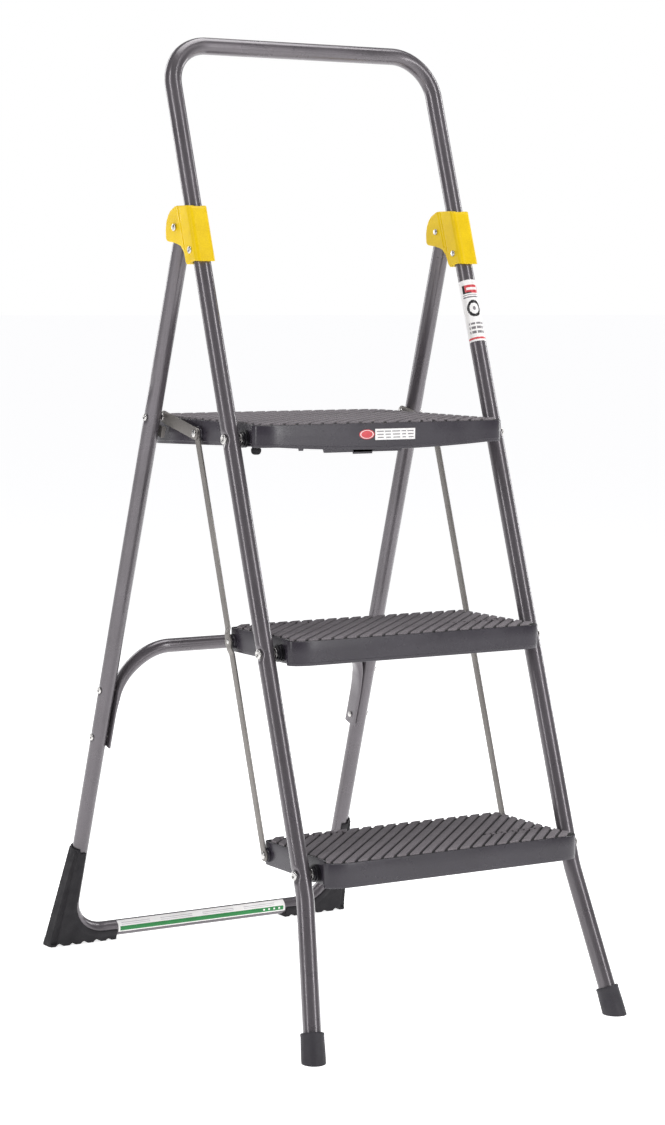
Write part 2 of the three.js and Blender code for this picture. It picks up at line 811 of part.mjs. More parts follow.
function addSteps() {
  const rows = [
    {
      name: 'platform',
      reach: platformRearReach,
      corner: platformRearCorner,
      skirt: platformFrontSkirt,
      rearSkirt: platformRearSkirt,
    },
    ...['middle_step', 'bottom_step'].map((name) => ({
      name,
      reach: stepRearReach,
      corner: stepRearCorner,
      skirt: skirtHeight,
      rearSkirt: skirtHeight,
    })),
  ];
  rows.forEach((row, i) => {
    const group = new THREE.Group();
    group.position.set(0, stepPivots[i].x, stepPivots[i].y);
    const isPlatform = i === 0;
    const step = mouldedStep(row.reach, row.corner, row.skirt, row.rearSkirt, isPlatform);
    group.add(piece(row.name, step, 'charcoalPlastic'));
    for (const [word, side] of [['left', -1], ['right', 1]]) {
      const boss = stepRearHalfWidth - stepWall - bossInside;
      const washerFrom = railInner - clearance - washerThickness;
      const pivot = rivet(boss, railOuter, pivotShank, pivotHead, side);
      group.add(piece(`${row.name}_pivot_${word}`, pivot, 'zinc'));
      const bore = pivotShank + holeClearance;
      const spacerFrom = stepRearHalfWidth + clearance;
      const spacer = ring(spacerFrom, washerFrom - clearance, spacerRadius, bore, side);
      const washer = ring(washerFrom, washerFrom + washerThickness, washerRadius, bore, side);
      group.add(piece(`${row.name}_spacer_${word}`, spacer, 'blackNylon'));
      group.add(piece(`${row.name}_washer_${word}`, washer, 'zinc'));
      const barFace = barThickness + (isPlatform ? spreaderInner : linkInner);
      const linkRivet = rivet(boss, barFace, linkShank, smallHead, side);
      const pin = piece(`${row.name}_link_rivet_${word}`, linkRivet, 'zinc');
      pin.position.set(0, linkReach, linkAbovePivot);
      group.add(pin);
      if (isPlatform && side === bumperSide) {
        const foot = piece('platform_bumper', bumper(), 'blackRubber');
        foot.position.set(side * bumperX, bumperY, deckAbovePivot - row.skirt);
        group.add(foot);
      }
    }
    stool.add(group);
  });
}

function addLinkage() {
  for (const [word, side] of [['left', -1], ['right', 1]]) {
    const handed = (geometry) => (side > 0 ? geometry : mirrored(geometry));
    stool.add(piece(`link_bar_${word}`, handed(linkBar()), 'greyBar'));
    stool.add(piece(`spreader_${word}`, handed(spreader()), 'greyBar'));
    const studEnd = legX(spreaderDrop) - railRadius - runningGap;
    const stud = turned([
      [0, spreaderInner - clearance - tailHeight],
      [smallHead, spreaderInner - clearance - tailHeight],
      [smallHead, spreaderInner - clearance],
      [linkShank, spreaderInner - clearance],
      [linkShank, spreaderInner + barThickness + clearance],
      [smallHead, spreaderInner + barThickness + clearance],
      [smallHead, studEnd],
      [0, studEnd],
    ], side);
    const mesh = piece(`spreader_stud_${word}`, stud, 'zinc');
    mesh.position.set(0, legPivot.x, legPivot.y);
    stool.add(mesh);
  }
}

function addRearFrame() {
  legGroup.add(piece('rear_frame_tube', rearFrameTube(), 'greyPaint'));
  legGroup.add(piece('rear_brace', rearBrace(), 'greyPaint'));
  for (const [word, side] of [['left', -1], ['right', 1]]) {
    const boot = rearBoot();
    legGroup.add(piece(`rear_boot_${word}`, side > 0 ? boot : mirrored(boot), 'blackRubber'));
    braceRivetHeights.forEach((height, i) => {
      const drop = legAt(height);
      const place = i === 0 ? 'upper' : 'lower';
      const pin = rivet(tabX(drop), legX(drop) + railRadius, linkShank, smallHead, side);
      const mesh = piece(`brace_rivet_${place}_${word}`, pin, 'zinc');
      mesh.position.set(0, 0, -drop);
      legGroup.add(mesh);
    });
    const x = legX(spreaderDrop);
    const plugFrom = x + railRadius - tubeWall - plugInside;
    const plug = rivet(plugFrom, x + railRadius, linkShank, smallHead, side);
    const mesh = piece(`leg_rivet_${word}`, plug, 'zinc');
    mesh.position.set(0, 0, -spreaderDrop);
    const tab = side > 0 ? stopTab() : mirrored(stopTab());
    legGroup.add(mesh, piece(`stop_tab_${word}`, tab, 'greyBar'));
  }
}

addFrontFrame();
addSteps();
addLinkage();
addRearFrame();

// The origin is on the floor, under the middle of the stool
const box = new THREE.Box3().setFromObject(stool, true);
stool.position.y = -(box.min.y + box.max.y) / 2;

export default stool;
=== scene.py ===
import json
import math

import bmesh
import bpy
from mathutils import Matrix, Vector


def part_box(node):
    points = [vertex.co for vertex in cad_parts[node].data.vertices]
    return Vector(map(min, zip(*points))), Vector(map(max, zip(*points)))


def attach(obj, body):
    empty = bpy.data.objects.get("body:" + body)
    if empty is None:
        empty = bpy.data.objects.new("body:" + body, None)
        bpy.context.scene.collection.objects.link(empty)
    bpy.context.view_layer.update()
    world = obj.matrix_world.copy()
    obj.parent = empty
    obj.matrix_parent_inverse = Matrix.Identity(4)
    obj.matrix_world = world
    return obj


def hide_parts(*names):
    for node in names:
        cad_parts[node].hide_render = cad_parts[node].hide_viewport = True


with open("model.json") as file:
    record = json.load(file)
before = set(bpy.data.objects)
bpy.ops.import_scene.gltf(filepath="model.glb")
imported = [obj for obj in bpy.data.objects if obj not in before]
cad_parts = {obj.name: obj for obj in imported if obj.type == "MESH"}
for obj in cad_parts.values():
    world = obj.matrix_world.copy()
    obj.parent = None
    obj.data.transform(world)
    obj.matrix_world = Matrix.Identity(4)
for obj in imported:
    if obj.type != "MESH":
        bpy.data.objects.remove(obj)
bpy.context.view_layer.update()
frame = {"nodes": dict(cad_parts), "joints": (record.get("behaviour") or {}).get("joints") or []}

mm = 0.001
sides = (("left", -1), ("right", 1))
pivots = {joint["name"]: Vector(joint["pos_m"]) for joint in frame["joints"]}
hinge = pivots["rear_frame_fold"]
boxes = {}


def boxOf(node):
    if node not in boxes:
        low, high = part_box(node)
        boxes[node] = (Vector(low), Vector(high))
    return boxes[node]


stepPivots = {
    "platform": pivots["platform_fold"],
    "middle_step": pivots["middle_step_fold"],
    "bottom_step": pivots["bottom_step_fold"],
}
print("frame loaded:", len(frame["nodes"]), "CAD pieces")

# Where the two frames lie

frames = {
    "railX": 200.0,  # centre of each front rail
    "tubeRadius": 11.04,
    "rearLean": 17.98,  # degrees from upright
    "rearCornerOut": 14.6,
}
railRise = stepPivots["platform"] - stepPivots["bottom_step"]
railLean = math.atan2(railRise.y, railRise.z)
railFootY = stepPivots["platform"].y - stepPivots["platform"].z * math.tan(railLean)
rearLean = math.radians(frames["rearLean"])
# rail space: x across, y behind the rails, z along them from the floor
railSpace = Matrix.Translation((0, railFootY, 0)) @ Matrix.Rotation(-railLean, 4, "X")
# leg space: x across, y behind the legs, z up them to the hinge
legSpace = Matrix.Translation((0, hinge.y, hinge.z)) @ Matrix.Rotation(rearLean, 4, "X")
railX = frames["railX"] * mm
tubeRadius = frames["tubeRadius"] * mm
crossbarDrop = (hinge.z - 15.5 * mm) / math.cos(rearLean)


def boxMiddle(node):
    low, high = boxOf(node)
    return (low + high) / 2


def innerFace(node):
    # how far from the middle plane the piece begins
    low, high = boxOf(node)
    return min(abs(low.x), abs(high.x))


def alongRail(height):
    return height / math.cos(railLean)


def downLeg(height):
    return (hinge.z - height) / math.cos(rearLean)


def legX(drop):
    return railX + frames["rearCornerOut"] * mm * drop / crossbarDrop


# Finishes


def tint(code):
    channels = [int(code[i:i + 2], 16) / 255 for i in (0, 2, 4)]
    linear = [c / 12.92 if c <= 0.04045 else ((c + 0.055) / 1.055) ** 2.4 for c in channels]
    return (*linear, 1.0)


def finish(name, look):
    material = bpy.data.materials.new(name)
    material.use_nodes = True
    tree = material.node_tree
    shader = tree.nodes["Principled BSDF"]
    shader.inputs["Metallic"].default_value = look.get("metallic", 0.0)
    shader.inputs["Specular IOR Level"].default_value = look.get("shine", 0.5)
    shader.inputs["Coat Weight"].default_value = look.get("coat", 0.0)
    shader.inputs["Coat Roughness"].default_value = look.get("coatRoughness", 0.15)
    place = tree.nodes.new("ShaderNodeTexCoord")

    def added(kind, **settings):
        # a new node with its settings; an underscore stands for a space in an input's name
        node = tree.nodes.new(kind)
        for key, value in settings.items():
            node.inputs[key.replace("_", " ")].default_value = value
        return node

    def grain(scale, detail, roughness=0.55):
        node = added("ShaderNodeTexNoise", Scale=scale, Detail=detail, Roughness=roughness)
        tree.links.new(place.outputs["Object"], node.inputs["Vector"])
        return node.outputs["Fac"]

    def ramp(value, stops):
        node = tree.nodes.new("ShaderNodeValToRGB")
        node.color_ramp.elements[0].position = stops[0][0]
        node.color_ramp.elements[0].color = stops[0][1]
        node.color_ramp.elements[1].position = stops[-1][0]
        node.color_ramp.elements[1].color = stops[-1][1]
        for spot, colour in stops[1:-1]:
            node.color_ramp.elements.new(spot).color = colour
        tree.links.new(value, node.inputs["Fac"])
        return node.outputs["Color"]

    def blended(first, second, share):
        node = tree.nodes.new("ShaderNodeMix")
        node.data_type = "RGBA"
        node.inputs["Factor"].default_value = share
        tree.links.new(first, node.inputs["A"])
        tree.links.new(second, node.inputs["B"])
        return node.outputs["Result"]

    cloudy = grain(look["cloud"], 4)
    fine = grain(look["speckle"], 3, 0.65)
    broad = ramp(cloudy, [(0.32, tint(look["dark"])), (0.68, tint(look["light"]))])
    specks = ramp(fine, [(0.30, tint(look["speckDark"])), (0.52, tint(look["base"])),
                         (0.78, tint(look["speckLight"]))])
    colour = blended(broad, specks, look["speckShare"])
    tree.links.new(colour, shader.inputs["Base Color"])
    smoothest, roughest = look["gloss"]
    spread = added("ShaderNodeMapRange", From_Min=0.3, From_Max=0.7, To_Min=smoothest, To_Max=roughest)
    tree.links.new(grain(look["cloud"] * 2.3, 5), spread.inputs["Value"])
    tree.links.new(spread.outputs["Result"], shader.inputs["Roughness"])
    strength, depth = look["bump"]
    bump = added("ShaderNodeBump", Strength=strength, Distance=depth * mm)
    tree.links.new(grain(look["bumpScale"], 3, 0.6), bump.inputs["Height"])
    tree.links.new(bump.outputs["Normal"], shader.inputs["Normal"])
    return material


labelInk = {"speckShare": 0.4, "cloud": 60, "speckle": 900, "gloss": (0.3, 0.42), "bump": (0.05, 0.05),
            "bumpScale": 400}
finishes = {
    "greyPaint": finish("warm_grey_coated_tube", {
        "base": "656064", "dark": "5a5659", "light": "6d686d", "speckDark": "4c484c",
        "speckLight": "807b7f", "speckShare": 0.55, "cloud": 11, "speckle": 1500,
        "gloss": (0.24, 0.36), "bump": (0.05, 0.05), "bumpScale": 420, "metallic": 0.5,
        "coat": 0.4, "coatRoughness": 0.12}),
    "greyBar": finish("light_grey_coated_bar", {
        "base": "87837f", "dark": "777370", "light": "8d8985", "speckDark": "686461",
        "speckLight": "a5a19c", "speckShare": 0.55, "cloud": 18, "speckle": 1500,
        "gloss": (0.32, 0.48), "bump": (0.2, 0.12), "bumpScale": 620, "metallic": 0.55}),
    "skirtPlastic": finish("charcoal_moulded_skirt", {
        "base": "322e36", "dark": "2b272e", "light": "39353d", "speckDark": "252128",
        "speckLight": "413c45", "speckShare": 0.35, "cloud": 9, "speckle": 900,
        "gloss": (0.22, 0.34), "bump": (0.12, 0.1), "bumpScale": 420}),
    # painted shade: the deck between the tread ribs is the same moulding as the charcoal skirt, made
    # near-black to paint the shade in the grooves
    "groovePaintedShade": finish("tread_groove_painted_shade", {
        "base": "0e0c0e", "dark": "0a090a", "light": "131114", "speckDark": "070607",
        "speckLight": "1c191c", "speckShare": 0.4, "cloud": 30, "speckle": 1100,
        "gloss": (0.55, 0.75), "bump": (0.25, 0.15), "bumpScale": 700}),
    "treadGrey": finish("gritty_tread_rib", {
        "base": "756f73", "dark": "655f63", "light": "807a7e", "speckDark": "444044",
        "speckLight": "9c969a", "speckShare": 0.75, "cloud": 24, "speckle": 1250,
        "gloss": (0.55, 0.78), "bump": (0.75, 0.3), "bumpScale": 950}),
    "yellowPlastic": finish("yellow_moulded_bracket", {
        "base": "e6c204", "dark": "dbb503", "light": "eecb08", "speckDark": "cda803",
        "speckLight": "f6d820", "shine": 0.22, "speckShare": 0.45, "cloud": 40, "speckle": 800,
        "gloss": (0.34, 0.48), "bump": (0.35, 0.2), "bumpScale": 520}),
    "bootRubber": finish("black_rubber_boot", {
        "base": "1d1b1f", "dark": "181619", "light": "232125", "speckDark": "121113",
        "speckLight": "2f2c31", "shine": 0.3, "speckShare": 0.5, "cloud": 26, "speckle": 1300,
        "gloss": (0.55, 0.78), "bump": (0.5, 0.25), "bumpScale": 900}),
    "footRubber": finish("dark_rubber_foot", {
        "base": "302d33", "dark": "28262b", "light": "37343b", "speckDark": "1f1d21",
        "speckLight": "47434a", "speckShare": 0.5, "cloud": 26, "speckle": 1300,
        "gloss": (0.5, 0.7), "bump": (0.5, 0.25), "bumpScale": 900}),
    "spacerNylon": finish("black_nylon_spacer", {
        "base": "1f1d21", "dark": "19181b", "light": "27252a", "speckDark": "131214",
        "speckLight": "37343a", "speckShare": 0.4, "cloud": 60, "speckle": 1500,
        "gloss": (0.28, 0.42), "bump": (0.2, 0.1), "bumpScale": 700}),
    "zinc": finish("bright_zinc_rivet", {
        "base": "cfcdcb", "dark": "bdbbb9", "light": "dddbd8", "speckDark": "a5a3a1",
        "speckLight": "f0eeeb", "speckShare": 0.4, "cloud": 120, "speckle": 2200,
        "gloss": (0.16, 0.32), "bump": (0.15, 0.06), "bumpScale": 1500, "metallic": 0.95}),
    "labelWhite": finish("label_white", {
        **labelInk, "base": "f3f1ef", "dark": "ebe9e7", "light": "f8f6f5",
        "speckDark": "e2e0de", "speckLight": "ffffff", "speckShare": 0.3}),
    "labelGreen": finish("label_green", {
        **labelInk, "base": "17803c", "dark": "137535", "light": "1c8a43",
        "speckDark": "0f692f", "speckLight": "289650", "speckShare": 0.3}),
    "labelRed": finish("label_red", {
        **labelInk, "base": "d2464c", "dark": "c63d44", "light": "dc5258",
        "speckDark": "b8363d", "speckLight": "e3666b", "speckShare": 0.3}),
    "labelFaint": finish("label_faint_grey", {
        **labelInk, "base": "c6c2c5", "dark": "bbb7ba", "light": "d0cccf",
        "speckDark": "aeaaad", "speckLight": "dcd8db"}),
    "labelBlack": finish("label_black", {
        **labelInk, "base": "1a181a", "dark": "141214", "light": "222022",
        "speckDark": "0e0d0e", "speckLight": "2e2b2e"}),
    "labelGrey": finish("label_grey", {
        **labelInk, "base": "7d797c", "dark": "716d70", "light": "878386",
        "speckDark": "656164", "speckLight": "989497"}),
}
print("finishes ready:", len(finishes))

# Making meshes


def linked(name, data):
    thing = bpy.data.objects.new(name, data)
    bpy.context.scene.collection.objects.link(thing)
    return thing


def addPiece(name, points, faces, finishName, body, stands=(), place=None, smooth=40,
             faceFinish=None, extra=()):
    mesh = bpy.data.meshes.new(name)
    if place is not None:
        points = [place @ Vector(p) for p in points]
    mesh.from_pydata([tuple(p) for p in points], [], faces)
    for key in (finishName, *extra):
        mesh.materials.append(finishes[key])
    if faceFinish is not None:
        mesh.polygons.foreach_set("material_index", faceFinish)
    tidy = bmesh.new()
    tidy.from_mesh(mesh)
    bmesh.ops.recalc_face_normals(tidy, faces=tidy.faces)
    tidy.to_mesh(mesh)
    tidy.free()
    mesh.polygons.foreach_set("use_smooth", [True] * len(mesh.polygons))
    mesh.set_sharp_from_angle(angle=math.radians(smooth))
    piece = linked(name, mesh)
    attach(piece, body)
    if stands:
        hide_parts(*stands)
    return piece


def stitched(rings, capped=True):
    # joins rings of equal length into a skin
    points = [p for ring in rings for p in ring]
    count = len(rings[0])
    faces = []
    for i in range(len(rings) - 1):
        for j in range(count):
            k = (j + 1) % count
            faces.append((i * count + j, i * count + k, (i + 1) * count + k, (i + 1) * count + j))
    if capped:
        faces.append(tuple(range(count - 1, -1, -1)))
        faces.append(tuple(range((len(rings) - 1) * count, len(rings) * count)))
    return points, faces


def skinFrom(points, faces):
    skin = bmesh.new()
    made = [skin.verts.new(p) for p in points]
    for face in faces:
        skin.faces.new([made[i] for i in face])
    return skin


def skinData(skin):
    # the points and faces of a skin, which is let go of
    skin.verts.index_update()
    points = [v.co.copy() for v in skin.verts]
    faces = [tuple(v.index for v in face.verts) for face in skin.faces]
    skin.free()
    return points, faces


def inMetres(pairs):
    return [(a * mm, b * mm) for a, b in pairs]


def merged(parts):
    points, faces = [], []
    for partPoints, partFaces in parts:
        base = len(points)
        points.extend(partPoints)
        faces.extend(tuple(base + i for i in face) for face in partFaces)
    return points, faces


def turnedShape(profile, count=36):
    # a profile of (radius, height) turned round z; it starts and ends on the axis or closes on itself
    rings = []
    for radius, height in profile:
        ring = [Vector((radius * math.cos(2 * math.pi * j / count),
                        radius * math.sin(2 * math.pi * j / count), height)) for j in range(count)]
        rings.append(ring)
    onAxis = profile[0][0] < 1e-7
    points, faces = stitched(rings, capped=False)
    if onAxis:
        skin = skinFrom(points, faces)
        bmesh.ops.remove_doubles(skin, verts=skin.verts, dist=1e-7)
        points, faces = skinData(skin)
    else:
        last = (len(profile) - 1) * count
        for j in range(count):
            k = (j + 1) % count
            faces.append((last + j, last + k, k, j))
    return points, faces


def routeStations(corners, bends, dents=(), fineStep=2.2 * mm, turnStep=3.0):
    # points and headings along straight runs and bends, close together near a dent
    headings = [(b - a).normalized() for a, b in zip(corners, corners[1:])]
    stations = []
    start = corners[0]

    def straight(a, b):
        length = (b - a).length
        heading = (b - a).normalized()
        count = max(2, int(length / fineStep))
        for i in range(count + 1):
            point = a.lerp(b, i / count)
            near = any((point - d["at"]).length < d["reach"] * 1.35 + 14 * mm for d in dents)
            if near or i in (0, count) or i % 9 == 0:
                stations.append((point, heading))

    for i in range(1, len(corners) - 1):
        before, after = headings[i - 1], headings[i]
        turn = before.angle(after)
        reach = bends[i - 1] * math.tan(turn / 2)
        straight(start, corners[i] - before * reach)
        across = (after - before * after.dot(before)).normalized()
        begin = corners[i] - before * reach
        steps = max(3, math.ceil(math.degrees(turn) / turnStep))
        for step in range(1, steps):
            angle = turn * step / steps
            point = begin + before * (bends[i - 1] * math.sin(angle))
            point = point + across * (bends[i - 1] * (1 - math.cos(angle)))
            stations.append((point, before * math.cos(angle) + across * math.sin(angle)))
        start = corners[i] + after * reach
    straight(start, corners[-1])
    return stations


def tubeShape(stations, radius, normal, dents=(), count=40):
    rings = []
    for point, heading in stations:
        across = heading.cross(normal).normalized()
        ring = []
        for j in range(count):
            angle = 2 * math.pi * j / count
            ring.append(point + across * (radius * math.cos(angle)) + normal * (radius * math.sin(angle)))
        rings.append(ring)
    for dent in dents:
        for ring in rings:
            for j, point in enumerate(ring):
                offset = point - dent["at"]
                inward = offset.dot(dent["inward"])
                if inward > radius * 0.9:
                    continue
                along = offset.dot(dent["along"]) / dent["tall"]
                wide = (offset - dent["inward"] * inward - dent["along"] * offset.dot(dent["along"])).length
                distance = math.hypot(along, wide) / dent["reach"]
                if distance < 1:
                    push = dent["depth"] * (0.5 + 0.5 * math.cos(math.pi * distance))
                    ring[j] = point + dent["inward"] * push
    return stitched(rings)


def prism(outline, low, high, axis):
    # a flat outline made thick along one axis: "x" takes (y, z) points, "y" (x, z) and "z" (x, y)
    rings = []
    for level in (low, high):
        if axis == "x":
            rings.append([Vector((level, a, b)) for a, b in outline])
        elif axis == "y":
            rings.append([Vector((a, level, b)) for a, b in outline])
        else:
            rings.append([Vector((a, b, level)) for a, b in outline])
    return stitched(rings)


def dentAt(x, height, inwardX, reach, depth, tall=1.0):
    # a dent pressed sideways into a tube; tall stretches it along the tube
    return {"at": Vector((x, 0, height)), "inward": Vector((inwardX, 0, 0)), "along": Vector((0, 0, 1)),
            "reach": reach * mm, "depth": depth, "tall": tall}


# Front frame tube

frontTube = {
    "handleTop": 1243.0,
    "handleBend": 57.0,
    "footOut": 25.0,
    "flareHeight": 185.0,
    "flareBend": 150.0,
    "bottomEnd": 6.0,
    "dentReach": 11.5,
    "dentDepth": 2.6,
}
print("making the front frame tube")
flareTop = alongRail(frontTube["flareHeight"] * mm)
tubeBottom = alongRail(frontTube["bottomEnd"] * mm)
footX = railX + frontTube["footOut"] * mm
bottomX = footX + (railX - footX) * tubeBottom / flareTop
handleAlong = alongRail(frontTube["handleTop"] * mm - 11.1 * mm)
railSide = [Vector((bottomX, 0, tubeBottom)), Vector((railX, 0, flareTop)), Vector((railX, 0, handleAlong))]
railRoute = railSide + [Vector((-p.x, 0, p.z)) for p in reversed(railSide)]
railDents = []
for word, side in sides:
    for pivot in stepPivots.values():
        for face in (1, -1):
            depth = frontTube["dentDepth"] * mm * (1.0 if face > 0 else 0.6)
            railDents.append(dentAt(side * (railX + face * tubeRadius), alongRail(pivot.z), -side * face,
                                    frontTube["dentReach"], depth))
bends = [frontTube["flareBend"] * mm, frontTube["handleBend"] * mm] * 2
bends[2:] = reversed(bends[:2])
stations = routeStations(railRoute, bends, railDents)
points, faces = tubeShape(stations, tubeRadius, Vector((0, 1, 0)), railDents)
addPiece("front_rail_tube", points, faces, "greyPaint", "front_frame",
         ["front_frame_tube"], railSpace)

# Rear frame tube and its brace

rearTube = {
    "aboveHinge": 10.0,
    "cornerBend": 57.0,
    "studDent": (9.5, 1.8),  # how far a dent reaches, and how deep it is
    "braceRivetHeights": (376.0, 309.0),
    "braceDent": (8.0, 1.2),
    "flat": {"above": 44.0, "tall": 3.2, "reach": 9.0, "depth": 1.6},  # under the spreader's end
}
print("making the rear frame tube")
studDrop = downLeg(boxMiddle("leg_rivet_left").z)
legTop = -rearTube["aboveHinge"] * mm
legSide = [Vector((legX(legTop), 0, -legTop)), Vector((legX(crossbarDrop), 0, -crossbarDrop))]
legRoute = legSide + [Vector((-p.x, 0, p.z)) for p in reversed(legSide)]
legDents = []
for word, side in sides:
    for drop, (reach, depth) in [(studDrop, rearTube["studDent"])] + [
            (downLeg(h * mm), rearTube["braceDent"]) for h in rearTube["braceRivetHeights"]]:
        legDents.append(dentAt(side * (legX(drop) + tubeRadius), -drop, -side, reach, depth * mm))
    # the long flat where the spreader is riveted on
    flat = rearTube["flat"]
    legDents.append(dentAt(side * (legX(studDrop) - tubeRadius), -studDrop + flat["above"] * mm, side,
                           flat["reach"], flat["depth"] * mm, flat["tall"]))
cornerBends = [rearTube["cornerBend"] * mm] * 2
stations = routeStations(legRoute, cornerBends, legDents)
points, faces = tubeShape(stations, tubeRadius, Vector((0, 1, 0)), legDents)
addPiece("rear_leg_tube", points, faces, "greyPaint", "rear_frame",
         ["rear_frame_tube"], legSpace)

brace = {
    "radius": 9.5,
    "height": 433.5,
    "bend": 66.0,
    "tabEnd": 296.0,
    "tabHalfWidth": 12.6,
    "tabHalfThickness": 1.8,
    "flattenFrom": 0.42,  # share of the bend where the pressing starts
    "flattenRun": 34.0,  # how far past the bend it is fully pressed
}
print("making the brace")


def legInnerFace(drop):
    return legX(drop) - 11.4 * mm


def braceRings():
    radius = brace["radius"] * mm
    top = downLeg(brace["height"] * mm)
    lowest = downLeg(brace["tabEnd"] * mm)
    outerBend = brace["bend"] * mm + radius
    # the outer flank follows the leg's inner face, and the tube is pressed against it
    outerTop = top - radius
    bendEndDrop = outerTop + outerBend
    wallX = legInnerFace(bendEndDrop) + 0.2 * mm
    centre = Vector((wallX - outerBend, 0, -bendEndDrop))
    flank = []
    for i in range(9):
        x = (wallX - outerBend) * i / 8
        flank.append((Vector((x, 0, -outerTop)), Vector((1, 0, 0)), 0.0))
    bendLength = outerBend * math.pi / 2
    for i in range(1, 31):
        angle = math.pi / 2 * i / 30
        point = centre + Vector((math.sin(angle), 0, math.cos(angle))) * outerBend
        heading = Vector((math.cos(angle), 0, -math.sin(angle)))
        flank.append((point, heading, bendLength * i / 30))
    straight = lowest - bendEndDrop
    for i in range(1, 41):
        drop = bendEndDrop + straight * i / 40
        heading = Vector((legX(1) - legX(0), 0, -1)).normalized()
        flank.append((Vector((legInnerFace(drop), 0, -drop)), heading, bendLength + straight * i / 40))
    rings = []
    begin = bendLength * brace["flattenFrom"]
    span = bendLength - begin + brace["flattenRun"] * mm
    for point, heading, run in flank:
        share = min(1.0, max(0.0, (run - begin) / span))
        share = share * share * (3 - 2 * share)
        thick = radius + (brace["tabHalfThickness"] * mm - radius) * share
        wide = radius + (brace["tabHalfWidth"] * mm - radius) * share
        inward = Vector((-heading.z, 0, heading.x)) * -1
        if inward.x > 0 and run > 0:
            inward = -inward
        if run == 0.0:
            inward = Vector((0, 0, -1))
        middle = point + inward * thick
        power = 1.0 - 0.45 * share  # boxier once pressed
        ring = []
        for j in range(40):
            angle = 2 * math.pi * j / 40
            c, s = math.cos(angle), math.sin(angle)
            a = math.copysign(abs(c) ** power, c) * thick
            b = math.copysign(abs(s) ** power, s) * wide
            ring.append(middle + inward * a + Vector((0, 1, 0)) * b)
        rings.append(ring)
    other = [[Vector((-p.x, p.y, p.z)) for p in ring] for ring in rings]
    return [ring for ring in reversed(other)][:-1] + rings


points, faces = stitched(braceRings())
addPiece("rear_brace_tube", points, faces, "greyPaint", "rear_frame",
         ["rear_brace"], legSpace)

# Rivets, washers and spacers

rivets = {
    "dome": [(0, 0), (0.25, 0.04), (0.48, 0.16), (0.68, 0.4), (0.84, 0.74), (0.95, 1.16),
             (1.0, 1.65), (1.0, 2.15), (0.97, 2.4)],
    "hollow": [(0, 1.9), (0.22, 1.9), (0.3, 1.7), (0.36, 0.75), (0.45, 0.2), (0.6, 0), (0.76, 0.1),
               (0.9, 0.5), (0.99, 1.1), (1.0, 1.8), (0.96, 2.4)],
    "tail": [(0.84, -2.2), (0.86, -1.9), (0.86, -0.5), (0.8, -0.15), (0.5, 0), (0.2, 0.25), (0, 0.3)],
    "railSink": 1.3,  # how far a pivot's head sits down in its dent
}


def rivetPiece(name, node, body, style, sink=0.0, shank=3.1):
    low, high = boxOf(node)
    side = 1 if low.x + high.x > 0 else -1
    outer = max(abs(low.x), abs(high.x)) - sink * mm
    inner = min(abs(low.x), abs(high.x))
    head = (high.z - low.z) / 2
    profile = [(r * head, h * mm) for r, h in rivets[style]]
    length = outer - inner
    profile += [(shank * mm, 2.4 * mm), (shank * mm, length - 2.2 * mm)]
    profile += [(r * head, length + h * mm) for r, h in rivets["tail"]]
    points, faces = turnedShape(profile, 32)
    turn = Matrix.Rotation(math.pi / 2 * -side, 4, "Y")
    place = Matrix.Translation((side * outer, (low.y + high.y) / 2, (low.z + high.z) / 2)) @ turn
    return addPiece(name, points, faces, "zinc", body, [node], place)


def ringPiece(name, node, body, profile, finishName):
    low, high = boxOf(node)
    side = 1 if low.x + high.x > 0 else -1
    inner = min(abs(low.x), abs(high.x))
    length = high.x - low.x
    points, faces = turnedShape([(r * mm, length * t) for r, t in profile], 40)
    turn = Matrix.Rotation(math.pi / 2 * side, 4, "Y")
    place = Matrix.Translation((side * inner, (low.y + high.y) / 2, (low.z + high.z) / 2)) @ turn
    return addPiece(name, points, faces, finishName, body, [node], place)


spacerProfile = [(4.3, 0), (10.2, 0), (10.9, 0.06), (10.9, 0.22), (9.3, 0.28), (9.3, 0.4), (10.9, 0.46),
                 (10.9, 0.62), (8.2, 0.68), (8.2, 0.82), (9.0, 0.88), (9.0, 1.0), (4.3, 1.0)]
washerProfile = [(4.3, 0), (6.9, 0), (7.3, 0.25), (7.3, 0.75), (6.9, 1.0), (4.3, 1.0)]
print("making the rivets, washers and spacers")
for word, side in sides:
    for row in stepPivots:
        rivetPiece(f"{row}_rail_rivet_{word}", f"{row}_pivot_{word}", "front_frame", "hollow",
                   rivets["railSink"], 4.0)
        rivetPiece(f"{row}_bar_rivet_{word}", f"{row}_link_rivet_{word}", row, "dome")
        ringPiece(f"{row}_nylon_spacer_{word}", f"{row}_spacer_{word}", "front_frame", spacerProfile,
                  "spacerNylon")
        ringPiece(f"{row}_steel_washer_{word}", f"{row}_washer_{word}", "front_frame", washerProfile,
                  "zinc")
    rivetPiece(f"bracket_hinge_rivet_{word}", f"hinge_rivet_{word}", "front_frame", "dome", 0.6)
    rivetPiece(f"bracket_fixing_rivet_{word}", f"bracket_rivet_{word}", "front_frame", "hollow", 0.6)
    rivetPiece(f"brace_pin_upper_{word}", f"brace_rivet_upper_{word}", "rear_frame", "hollow", 0.8)
    rivetPiece(f"brace_pin_lower_{word}", f"brace_rivet_lower_{word}", "rear_frame", "hollow", 0.8)
    rivetPiece(f"leg_stud_head_{word}", f"leg_rivet_{word}", "rear_frame", "hollow", 1.0)

# Link bars and spreaders

bars = {
    "linkHalfWidth": 5.5,
    "linkEye": 7.5,
    "spreaderHalfWidth": 8.0,
    "edge": 0.55,
    "joggleOut": 2.3,  # the bar stands out round the middle step's rivet
    "joggleFlat": 9.0,
    "joggleRamp": 9.0,
}


